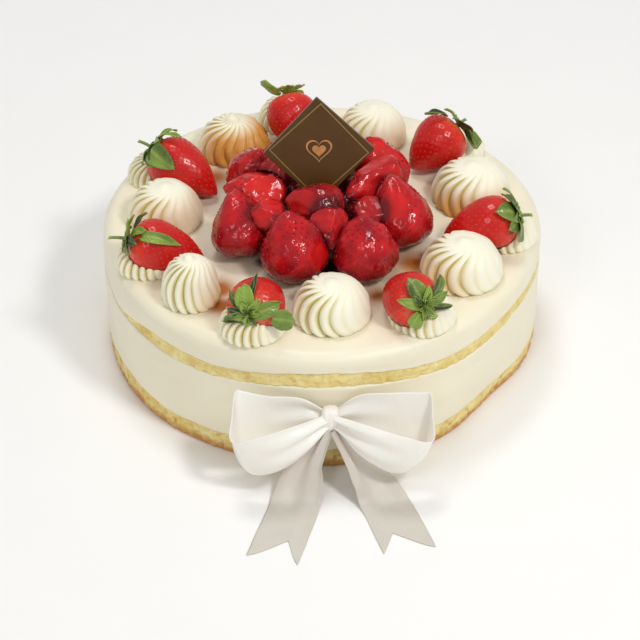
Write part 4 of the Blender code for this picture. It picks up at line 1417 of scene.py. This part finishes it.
    def blade(self, berry: Berry, leaf: Leaf, seed: int) -> Body:
        """One leaf: pointed, cupped along its midrib, with a wavy edge and a lifting tip."""
        draw = np.random.default_rng(seed)
        share = np.linspace(0.0, 1.0, self.leaf_rows)[:, None]
        place = np.linspace(-1, 1, self.leaf_columns)[None, :]
        outline = (share + 0.04) ** 0.55 * (1 - share) ** leaf.point
        outline = outline / outline.max()
        half = (leaf.length - leaf.start) * leaf.width / 2 * outline
        out = leaf.start + share * (leaf.length - leaf.start) - 0.05 * leaf.length * place ** 2
        side = place * half
        cup = 0.9 * MM * place ** 2 * outline
        curl = leaf.lift * share ** 2 + draw.uniform(0.2, 0.9) * MM * np.sin(math.pi * share)
        phase = 2 * math.pi * (share * 1.4 + 0.3 * place) + draw.uniform(0, 6)
        wave = 0.04 * leaf.length * np.sin(phase) * share
        roll = math.radians(leaf.roll + draw.uniform(-12, 12))
        lift = self.leaf_gap + np.maximum(cup + curl + wave, 0) + side * math.sin(roll) * share
        side = side * math.cos(roll)
        grid = self.on_crown(berry, leaf, out, side, lift)
        body = Body.strip(grid)
        rib = np.exp(-((place / 0.13) ** 2)) * (1 - 0.6 * share)
        edge = 0.12 * ease(np.abs(place) + 0 * share, 0.8, 1.0) + 0.3 * ease(share + 0 * place, 0.8, 1.0)
        body.keep("rib", np.clip(0.55 * rib + edge, 0, 0.7))
        # Painted shade: darker towards the stem and across the leaf to one side
        shaded = 0.6 * (1 - ease(out, 0.5 * MM, 3.5 * MM)) + 0.35 * place * draw.uniform(-1, 1)
        body.keep("tone", leaf.tone + draw.uniform(-0.3, 0.3) - shaded)
        return body.keep("slant", out - np.abs(side) * 0.8)

    def calyx(self, number: int, berry: Berry, leaves: Sequence[Leaf], stem_length: float) -> None:
        """Build a crown of leaves with smaller ones between them, and its stem."""
        blades = [self.blade(berry, leaf, 100 * number + index) for index, leaf in enumerate(leaves)]
        draw = np.random.default_rng(number + 900)
        for index, (leaf, after) in enumerate(zip(leaves, leaves[1:] + leaves[:1])):
            gap = (after.angle - leaf.angle) % 360
            angle = leaf.angle + gap * draw.uniform(0.3, 0.7)
            tone = 1.3 if index % 3 == 0 else 0.6
            small = Leaf(angle, draw.uniform(0.0030, 0.0060), self.small_lift, draw.uniform(0.3, 0.6), tone)
            blades.append(self.blade(berry, small, 100 * number + 10 + index))
        crown = Body.joined(blades)
        crown = crown.piece(f"calyx_{number}_leaves", Sepal().material(), thickness=self.leaf_thickness)
        seat(crown, Slot.LEAF, f"calyx_{number}")
        seat(self.stem(number, berry, stem_length), Slot.LEAF)

    def stem(self, number: int, berry: Berry, stem_length: float) -> bpy.types.Object:
        """A short stem that droops and ends where it was cut."""
        crown, _, along, right, up = berry.axes()
        share = np.linspace(0, 1, self.stem_points)[:, None]
        turn = np.radians(-np.linspace(0, 360, self.stem_points, endpoint=False))[None, :]
        path = crown - along * (0.2 * MM + share * (stem_length + 1.6 * MM))[..., None]
        path = path + np.array([0, 0, -0.25]) * (stem_length * share ** 2)[..., None]
        flare = self.stem_radius * (0.82 + 0.9 * np.exp(-share / 0.12) + 0.12 * ease(share, 0.85, 1.0))
        offset = right * np.cos(turn)[..., None] + up * np.sin(turn)[..., None]
        grid = path + offset * flare[..., None]
        body = Body.tube(grid[::-1])
        body.keep("rib", np.broadcast_to(0.15 + 0.35 * ease(share[::-1], 0.8, 1.0), grid.shape[:2]))
        body.keep("tone", np.full(grid.shape[:2], 0.45))
        body.keep("slant", np.broadcast_to(share[::-1] * stem_length * 0.3, grid.shape[:2]))
        return body.piece(f"calyx_{number}_stem", Sepal().material(), 50)


@dataclass(frozen=True)
class Cut:
    """A flat knife cut: the way that it faces, and its distance from the berry's middle."""

    facing: tuple[float, float, float]
    depth: float


@dataclass
class Heap:
    """The glazed berries in the middle: each is dented by those that were laid before it."""

    maker: BerryMaker = field(default_factory=lambda: BerryMaker(pit_depth=0.22 * MM, pit_radius=0.75 * MM))
    seed_turn: float = 25.0  # how far the seeds are turned from one berry to the next
    lump: float = 0.55 * MM
    lump_length: float = 11 * MM
    small_lump: float = 0.22 * MM
    small_lump_length: float = 4.5 * MM
    room: float = 0.15 * MM
    neighbour_reach: float = 75 * MM
    plaque_margin: float = 3.0 * MM
    cut_rounding: float = 0.45 * MM
    cut_crown: float = 0.12  # how far a cut face bulges, next to the berry that it cuts off
    # Painted shade: dark between berries and towards their feet
    gap_dark: float = 0.8
    gap_reach: float = 1.7 * MM
    foot_dark: float = 0.85
    foot_reach: float = 18 * MM
    darkest: float = 0.92
    cuts: dict = field(default_factory=lambda: {
        12: (Cut((-0.62, -0.55, 0.56), 0.0072),),
        13: (Cut((-0.45, -0.35, 0.82), 0.0046), Cut((0.75, -0.45, 0.48), 0.0050)),
        14: (Cut((-0.45, -0.72, 0.50), 0.0052), Cut((0.2, -0.1, 0.97), 0.0056)),
        15: (Cut((0.10, -0.66, 0.74), 0.0068), Cut((-0.1, 0.3, 0.95), 0.0080)),
        16: (Cut((0.45, -0.72, 0.52), 0.0052), Cut((-0.3, 0.2, 0.93), 0.0058)),
        17: (Cut((0.05, -0.36, 0.93), 0.0030), Cut((0.0, -0.90, 0.44), 0.0050)),
        18: (Cut((-0.2, -0.75, 0.62), 0.0058),),
        5: (Cut((0.35, -0.55, 0.75), 0.0090),),
        1: (Cut((0.75, -0.55, 0.36), 0.0128),),
        4: (Cut((-0.2, -0.55, 0.81), 0.0110),),
    })
    # A positive tone brightens a whole berry towards the cut colour; a negative one darkens it as painted
    # shade, most of all berries 9 to 11, which lie under the others
    tones: dict = field(default_factory=lambda: {
        3: 0.10, 4: 0.25, 5: 0.45, 6: 0.25, 7: 0.30, 9: -0.70, 10: -0.70, 11: -0.70,
        12: -0.10, 13: -0.05, 14: 0.10, 15: 0.45, 16: 0.15, 17: -0.20, 18: 0.15, 19: 0.20,
    })

    def build(self) -> None:
        """Build every berry of the heap and the seeds that show."""
        seeds = []
        for index, berry in enumerate(HEAP_BERRIES):
            seeds.append(self.berry(index + 1, berry, HEAP_BERRIES[:index] + RING_BERRIES))
        husk = SeedHusk("strawberry_seed_glazed", 0.2, "AE2E24", "841216").material()
        piece = Body.joined(seeds).piece("heap_berry_seeds", husk)
        seat(piece, Slot.GLAZED_BERRY)

    def past_plaque(self, points: Array, middle: Array) -> Array:
        """Which points lie in the plaque or past it, seen from the piece's middle."""
        offset = points - Plaque.centre
        over = np.abs(offset[:, 0]) + np.abs(offset @ Plaque.upward())
        near = over < Plaque.side / math.sqrt(2) + self.plaque_margin
        side = 1 if (middle - Plaque.centre) @ Plaque.facing() > 0 else -1
        return near & (offset @ Plaque.facing() * side < Plaque.thickness / 2 + self.room)

    def blocked(self, points: Array, middle: Array, neighbours: Sequence[Berry]) -> Array:
        """Which points are taken by the plaque, another berry or a whole rosette."""
        taken = self.past_plaque(points, middle)
        for other in neighbours:
            taken |= other.inside(points, self.room)
        for rosette in BARE_ROSETTES:
            taken |= points[:, 2] < rosette.dome(points, self.room, GROUND) - 1e-6
        return taken

    def berry(self, number: int, berry: Berry, neighbours: Sequence[Berry]) -> Body:
        """Build one glazed berry and return its seeds.

        Args:
            number: The berry's number in the heap.
            berry: Its form.
            neighbours: The berries that dent it.

        Returns:
            The seeds on the skin that is neither cut nor pressed.
        """
        middle = berry.middle()
        smooth, _ = self.maker.grid(berry)
        grid, centres, outward, along = self.maker.pitted(berry, smooth, self.seed_turn * number)
        lumps = self.lump * ripple(grid, self.lump_length, number + 500)
        lumps += self.small_lump * ripple(grid, self.small_lump_length, number + 550)
        grid = grid + unit(grid - middle) * lumps[..., None]
        flat = grid.reshape(-1, 3)
        opened = np.zeros(len(flat))
        hidden = np.zeros(len(centres), bool)
        for cut in self.cuts.get(number, ()):
            facing = unit(np.array(cut.facing))
            over = (flat - middle) @ facing - cut.depth
            kept = -self.cut_rounding * np.log1p(np.exp(-over / self.cut_rounding))
            kept += self.cut_crown * np.maximum(over, 0)
            kept += self.small_lump * ripple(flat, 5 * MM, number + 600)
            flat = flat + (kept - over)[:, None] * facing
            opened = np.maximum(opened, ease(over, -0.2 * MM, 0.9 * MM))
            hidden |= (centres - middle) @ facing > cut.depth - 0.3 * MM
        flat[:, 2] = np.maximum(flat[:, 2], GROUND)
        near = [other for other in neighbours
                if np.linalg.norm(other.middle() - middle) < self.neighbour_reach]
        flat, moved = pushed_in(flat, middle, lambda points: self.blocked(points, middle, near))
        body = Body.tube(flat.reshape(grid.shape))
        tone = self.tones.get(number, 0.0)
        others = [other for other in HEAP_BERRIES if other is not berry]
        away = np.min([other.distance(flat) for other in others], axis=0)
        # Painted shade where another berry is near and towards the foot
        gap = self.gap_dark * np.exp(-np.maximum(away, 0) / self.gap_reach)
        foot = self.foot_dark * (1 - ease(flat[:, 2], GROUND, GROUND + self.foot_reach))
        body.keep("cut", np.clip(0.55 * opened * (moved < 0.02) + max(tone, 0), 0, 1))
        body.keep("painted_shade", np.clip(np.maximum(gap, foot) + max(-tone, 0), 0, self.darkest))
        shown = body.piece(f"heap_berry_{number}_glazed", GlazedFlesh().material(), 42)
        seat(shown, Slot.GLAZED_BERRY, f"heap_berry_{number}")
        hidden |= self.blocked(centres, middle, near) | (centres[:, 2] < GROUND + 0.5 * MM)
        return self.maker.pattern.seeds(centres[~hidden], outward[~hidden], along[~hidden])


@dataclass
class Plaque:
    """The square of chocolate that stands on one corner and leans back, with its print."""

    side: float = 34.5 * MM
    roll: float = 2.2
    inset: float = 1.7 * MM
    line: float = 0.55 * MM
    proud: float = 0.12 * MM
    heart_width: float = 11.5 * MM
    heart_line: float = 0.75 * MM
    small_heart: float = 0.52  # its size, next to the heart round it
    edge_angle: float = 30.0

    centre = np.array((-1.2 * MM, -1.3 * MM, 98.5 * MM))
    thickness = 2.4 * MM
    lean = 16.0

    @classmethod
    def facing(cls) -> Array:
        """The way that its front looks."""
        lean = math.radians(cls.lean)
        return np.array((0.0, -math.cos(lean), math.sin(lean)))

    @classmethod
    def upward(cls) -> Array:
        """The way up its face."""
        lean = math.radians(cls.lean)
        return np.array((0.0, math.sin(lean), math.cos(lean)))

    def build(self) -> None:
        """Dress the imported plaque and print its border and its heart."""
        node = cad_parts["plaque"]
        node.data.materials.clear()
        node.data.materials.append(DarkChocolate().material())
        print_gold = CocoaButterPrint().material()
        faded = CocoaButterPrint("cocoa_butter_print_border", 0.45, "A08850", "7C683A",
                                 constants=(("Metallic", 0.3),)).material()
        outline = self.ring_print(self.heart(1.0), self.heart(1 - 2 * self.heart_line / self.heart_width))
        small = Body.tube(np.stack([self.on_face(self.heart(self.small_heart), height)
                                    for height in (0.0, self.proud)]))
        prints = (
            ("plaque_border_print", self.border(), faded),
            ("plaque_heart_outline_print", outline, print_gold),
            ("plaque_heart_print", small, print_gold),
        )
        for name, body, colour in prints:
            seat(body.piece(name, colour, self.edge_angle), Slot.CHOCOLATE)

    def on_face(self, flat: Array, height: float) -> Array:
        """Place flat points on the front face, at a height above it."""
        foot = self.centre + self.facing() * (self.thickness / 2 + height)
        return foot + flat[:, :1] * np.array((1.0, 0.0, 0.0)) + flat[:, 1:] * self.upward()

    def diamond(self, side: float) -> Array:
        """Corners of a square that stands on one corner, with the plaque's small roll."""
        turn = np.radians(np.arange(4) * 90 - self.roll)
        return np.stack([np.cos(turn), np.sin(turn)], 1) * side / math.sqrt(2)

    def border(self) -> Body:
        """The thin line that runs round near the plaque's edge."""
        side = self.side - 2 * self.inset
        return self.ring_print(self.diamond(side), self.diamond(side - 2 * self.line))

    def heart(self, scale: float) -> Array:
        """Outline of a heart about its middle."""
        turn = np.linspace(0, 2 * math.pi, 96, endpoint=False)
        across = 16 * np.sin(turn) ** 3
        over = 13 * np.cos(turn) - 5 * np.cos(2 * turn) - 2 * np.cos(3 * turn) - np.cos(4 * turn)
        return np.stack([across, over + 2.5], 1)[::-1] * (self.heart_width * scale / 32)

    def ring_print(self, outer: Array, inner: Array) -> Body:
        """A raised line between two outlines, both counter-clockwise."""
        levels = [self.on_face(outer, 0.0), self.on_face(outer, self.proud),
                  self.on_face(inner, self.proud), self.on_face(inner, 0.0)]
        count = len(outer)
        here = np.arange(count)
        after = (here + 1) % count
        faces = []
        for row in range(4):
            low, high = row * count, (row + 1) % 4 * count
            faces += np.stack([low + here, low + after, high + after, high + here], 1).tolist()
        return Body(np.vstack(levels), faces)


@dataclass
class Bow:
    """The satin bow against the side: a knot, two loops and two tails.

    A station on a ribbon's middle line gives its place and how far the ribbon is open there, as
    a share of its width. On a loop it also gives how far the ribbon leans and curls across and
    how far its edges are tilted outwards, in degrees.
    """

    width: float = 22.0 * MM
    thickness: float = 0.3 * MM
    pleats: float = 2.0
    gather: float = 0.6  # how deep the pleats are, next to pleats that take up the whole width
    columns: int = 33
    loop_rows: int = 121
    tail_rows: int = 101
    knot_x: float = 2.0 * MM
    knot_z: float = 31.5 * MM
    knot_size: tuple = (8.4 * MM, 8.4 * MM, 12.0 * MM)
    loop_stations: dict = field(default_factory=lambda: {
        Side.LEFT: (
            (0.0001, -0.1022, 0.0316, 0.30, 4, 0, 0), (-0.0100, -0.1032, 0.0322, 0.80, 14, 0, 0),
            (-0.0250, -0.1038, 0.0308, 1.00, 21, 0, 0), (-0.0350, -0.1046, 0.0334, 1.00, 30, 0, -3),
            (-0.0386, -0.1062, 0.0345, 1.00, 32, 0, -4), (-0.0378, -0.1134, 0.0278, 1.00, 12, 4, 8),
            (-0.0348, -0.1187, 0.0219, 1.00, -2, 12, 26), (-0.0235, -0.1209, 0.0250, 0.98, -5, 20, 26),
            (-0.0105, -0.1163, 0.0290, 0.75, -4, 16, 16), (0.0001, -0.1066, 0.0312, 0.32, 0, 5, 0),
        ),
        Side.RIGHT: (
            (0.0039, -0.1022, 0.0316, 0.30, 4, 0, 0), (0.0140, -0.1032, 0.0326, 0.86, 14, 0, 0),
            (0.0300, -0.1035, 0.0315, 1.00, 20, 0, 0), (0.0405, -0.1042, 0.0319, 1.00, 22, 0, 0),
            (0.0444, -0.1060, 0.0326, 1.00, 24, 0, -1), (0.0424, -0.1128, 0.0272, 1.00, 12, 4, 12),
            (0.0384, -0.1187, 0.0216, 1.00, -2, 12, 34), (0.0285, -0.1211, 0.0248, 0.98, -5, 20, 26),
            (0.0150, -0.1163, 0.0290, 0.75, -4, 16, 16), (0.0039, -0.1066, 0.0312, 0.32, 0, 5, 0),
        ),
    })
    tail_stations: dict = field(default_factory=lambda: {
        Side.LEFT: (
            (0.0008, -0.1060, 0.0275, 0.22), (-0.0050, -0.1098, 0.0185, 0.56),
            (-0.0088, -0.1130, 0.0120, 0.80), (-0.0120, -0.1190, 0.0040, 0.93),
            (-0.0148, -0.1290, 0.0010, 0.98), (-0.0190, -0.1430, 0.0010, 1.00),
            (-0.0231, -0.1570, 0.0010, 1.00),
        ),
        Side.RIGHT: (
            (0.0034, -0.1060, 0.0275, 0.22), (0.0108, -0.1095, 0.0180, 0.58),
            (0.0165, -0.1130, 0.0105, 0.82), (0.0218, -0.1180, 0.0036, 0.95),
            (0.0258, -0.1260, 0.0010, 0.98), (0.0300, -0.1390, 0.0010, 1.00),
            (0.0344, -0.1532, 0.0010, 1.00),
        ),
    })
    tail_ends: dict = field(default_factory=lambda: {
        Side.LEFT: (1.0, 0.85, 1.0), Side.RIGHT: (0.96, 0.85, 1.0),
    })
    notch_place: dict = field(default_factory=lambda: {Side.LEFT: 0.3, Side.RIGHT: -0.3})
    tail_drop: float = 0.6 * MM  # how much lower than its stations a tail lies on the floor
    tail_lowest: float = 0.25 * MM

    def build(self) -> None:
        """Build the knot, then the loops and tails that leave it."""
        knot = seat(self.knot(), Slot.RIBBON, "bow_knot")
        for side in Side:
            self.loop(side)
            self.tail(side, [knot] if side is Side.LEFT else [])

    def along(self, stations: Sequence[Sequence[float]], shares: Array) -> Array:
        """Stations at shares of the way along a smooth curve through the given ones."""
        given = np.array(stations, float)
        padded = np.vstack([given[:1], given, given[-1:]])
        last = len(given) - 1
        start = np.minimum((last * shares).astype(int), last - 1)
        part = (last * shares - start)[:, None]
        p0, p1, p2, p3 = (padded[start + step] for step in range(4))
        bend = 2 * p0 - 5 * p1 + 4 * p2 - p3
        twist = 3 * (p1 - p2) + p3 - p0
        return 0.5 * (2 * p1 + (p2 - p0) * part + bend * part ** 2 + twist * part ** 3)

    def pleat(self, opening: Array, place: Array, phase: float) -> Array:
        """Offsets of the gathers that take up the width where the ribbon isn't open."""
        depth = self.width * np.sqrt(2 * np.clip(1 - opening ** 2, 0, 1)) / (2 * math.pi * self.pleats)
        return self.gather * depth * np.cos(math.pi * self.pleats * place + phase)

    def ribbon(self, name: str, grid: Array, place: Array, satin: PolyesterSatin, area: Optional[float],
               held: str, with_pieces: Sequence[bpy.types.Object]) -> None:
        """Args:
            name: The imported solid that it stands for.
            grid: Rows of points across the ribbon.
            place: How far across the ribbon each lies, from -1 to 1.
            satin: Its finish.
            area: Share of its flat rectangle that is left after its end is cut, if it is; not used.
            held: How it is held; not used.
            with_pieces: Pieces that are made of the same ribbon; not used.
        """
        body = Body.strip(grid).keep("across", np.broadcast_to(place * self.width / 2, grid.shape[:2]))
        piece = body.piece(name + "_satin", satin.material(), thickness=self.thickness)
        seat(piece, Slot.RIBBON, name)

    def loop(self, side: Side) -> None:
        """Build one loop: out from the knot, round its end and back in front."""
        shares = np.linspace(0, 1, self.loop_rows)
        x, y, z, opening, lean, curl, tilt = self.along(self.loop_stations[side], shares).T
        line = np.stack([x, y, z], 1)
        place = np.linspace(-1, 1, self.columns)[None, :]
        start, bend = np.radians(lean)[:, None], np.radians(np.maximum(curl, 0.1))[:, None]
        back = (np.cos(start) - np.cos(start + bend * place)) / bend
        over = (np.sin(start + bend * place) - np.sin(start)) / bend
        reach = opening[:, None] * self.width / 2
        outer = np.radians(tilt)[:, None] * (-1 if side is Side.LEFT else 1)
        curve = np.stack([place * np.sin(outer), back * np.cos(outer), over * np.cos(outer)], -1)
        grid = line[:, None] + curve * reach[..., None]
        across = grid[:, -1] - grid[:, 0]
        outward = unit(np.cross(across, np.gradient(line, axis=0)))
        fold = self.pleat(opening[:, None], place, 0.6 if side is Side.LEFT else 2.2)
        grid = grid + outward[:, None] * fold[..., None]
        self.ribbon(f"bow_loop_{side.value}", grid, place, PolyesterSatin(), None, "gathered", [])

    def tail(self, side: Side, with_pieces: Sequence[bpy.types.Object]) -> None:
        """Build one tail, which falls to the surface and ends in a swallowtail."""
        stations = self.tail_stations[side]
        near, notch, far = self.tail_ends[side]
        place = np.linspace(-1, 1, self.columns)
        shares = np.linspace(0, 1, self.tail_rows)[:, None]
        ends = np.interp(place, (-1, 0, 1), (near, notch, far))
        split = self.notch_place[side] * shares
        spread = np.where(place < 0, -1 + (1 + place) * (1 + split), split + place * (1 - split))
        grid = np.zeros((*spread.shape, 3))
        for column in range(self.columns):
            here = self.along(stations, shares[:, 0] * ends[column])
            run = unit(np.gradient(here[:, :3], axis=0))
            flat = unit(run * (1, 1, 0))
            across = np.stack([-flat[:, 1], flat[:, 0], 0 * flat[:, 0]], 1)
            outward = unit(np.cross(across, run))
            fold = self.pleat(here[:, 3], spread[:, column], 1.0)
            reach = here[:, 3] * spread[:, column] * self.width / 2
            grid[:, column] = here[:, :3] + across * reach[:, None] + outward * fold[:, None]
        grid[..., 2] -= self.tail_drop * (1 - ease(grid[..., 2], 1.0 * MM, 6.0 * MM))
        grid[..., 2] = np.maximum(grid[..., 2], self.tail_lowest)
        area = 1 - 0.15 / 2 - 0.02 * (side is Side.RIGHT)
        # The tails use a darker, rougher copy of the satin: its dull side, darkened as painted shade
        dull_shaded_satin = PolyesterSatin("polyester_satin_dull_side_shaded", 0.5, "DAD2C7", "CFC6BA")
        self.ribbon(f"bow_tail_{side.value}", grid, spread, dull_shaded_satin, area, "hung", with_pieces)

    def knot(self) -> bpy.types.Object:
        """The knot: ribbon wrapped round the middle, creased where it is drawn tight."""
        wide, deep, tall = self.knot_size
        place = np.linspace(-1, 1, 25)[:, None]
        turn = np.linspace(0, 360, 72, endpoint=False)[None, :]
        circle, rise = np.cos(np.radians(turn)), np.sin(np.radians(turn))
        full = (1 - np.abs(place) ** 3.2) ** 0.42
        crease = 1 + 0.022 * np.cos(3 * math.pi * place + 0.9 * np.sin(np.radians(2 * turn)))
        radial = full * crease
        y = np.sign(circle) * np.abs(circle) ** 0.8 * deep / 2 * radial
        z = np.sign(rise) * np.abs(rise) ** 0.8 * tall / 2 * radial
        back = CAKE.side(-90.0, self.knot_z) + CAKE.side_wave
        x = np.broadcast_to(place * wide / 2, y.shape)
        grid = np.stack([self.knot_x + x, y - back - self.knot_size[1] / 2, z + self.knot_z], -1)
        body = Body.tube(grid[1:-1])
        body.keep("across", np.broadcast_to(place[1:-1] * self.width / 2, grid[1:-1].shape[:2]))
        return body.piece("bow_knot_satin", PolyesterSatin().material())


@dataclass
class Studio:
    """The floor, the soft lights and the camera at the photograph's viewing angle."""

    eye: tuple = (-0.015465, -0.91230, 0.70876)
    gaze: tuple = (0.012763, 0.79128, -0.61147)
    lens: float = 140.72
    floor_side: float = 6.0
    sky: float = 0.48
    lights: tuple = (
        ("key", (0.58, -0.60, 1.12), 0.22, 6.3), ("top", (-0.15, 0.35, 1.35), 0.32, 4.0),
        ("front_fill", (-0.45, -1.10, 1.00), 0.30, 2.1),
    )

    def build(self) -> None:
        """Build the stage in which the cake stands."""
        bpy.context.scene.view_settings.view_transform = "Standard"
        self.floor()
        self.world()
        for light in self.lights:
            self.softbox(*light)
        self.camera()

    def floor(self) -> None:
        """A pale plain floor."""
        half = self.floor_side / 2
        steps = np.linspace(-half, half, 9)
        across, deep = np.meshgrid(steps, steps)
        grid = np.stack([across, deep, 0 * across], -1)
        Body.strip(grid).piece("floor", MattPaper().material())

    def world(self) -> None:
        """Even white light from all round."""
        world = bpy.data.worlds.new("soft_white")
        world.use_nodes = True
        back = world.node_tree.nodes["Background"]
        back.inputs["Color"].default_value = linear("FFFFFF")
        back.inputs["Strength"].default_value = self.sky
        bpy.context.scene.world = world

    def softbox(self, name: str, place: tuple, side: float, power: float) -> None:
        """A square soft light that faces the cake."""
        light = bpy.data.lights.new(name, "AREA")
        light.shape = "SQUARE"
        light.size = side
        light.energy = power
        lamp = bpy.data.objects.new(name, light)
        lamp.location = place
        aim = Vector((0, 0, CAKE.height)) - Vector(place)
        lamp.rotation_euler = aim.to_track_quat("-Z", "Y").to_euler()
        bpy.context.scene.collection.objects.link(lamp)

    def camera(self) -> None:
        """The camera that looks down on the cake from the front."""
        data = bpy.data.cameras.new("camera")
        data.lens = self.lens
        camera = bpy.data.objects.new("camera", data)
        camera.location = self.eye
        camera.rotation_euler = Vector(self.gaze).to_track_quat("-Z", "Y").to_euler()
        bpy.context.scene.collection.objects.link(camera)
        bpy.context.scene.camera = camera


def main() -> None:
    """Build the cake from its layers up, then the bow and the studio."""
    logging.basicConfig(level=logging.INFO, format="%(name)s: %(message)s")
    for part in (Layers, RosetteRing, BerryRing, Heap, Plaque, Bow, Studio):
        part().build()


if __name__ == "__main__":
    main()
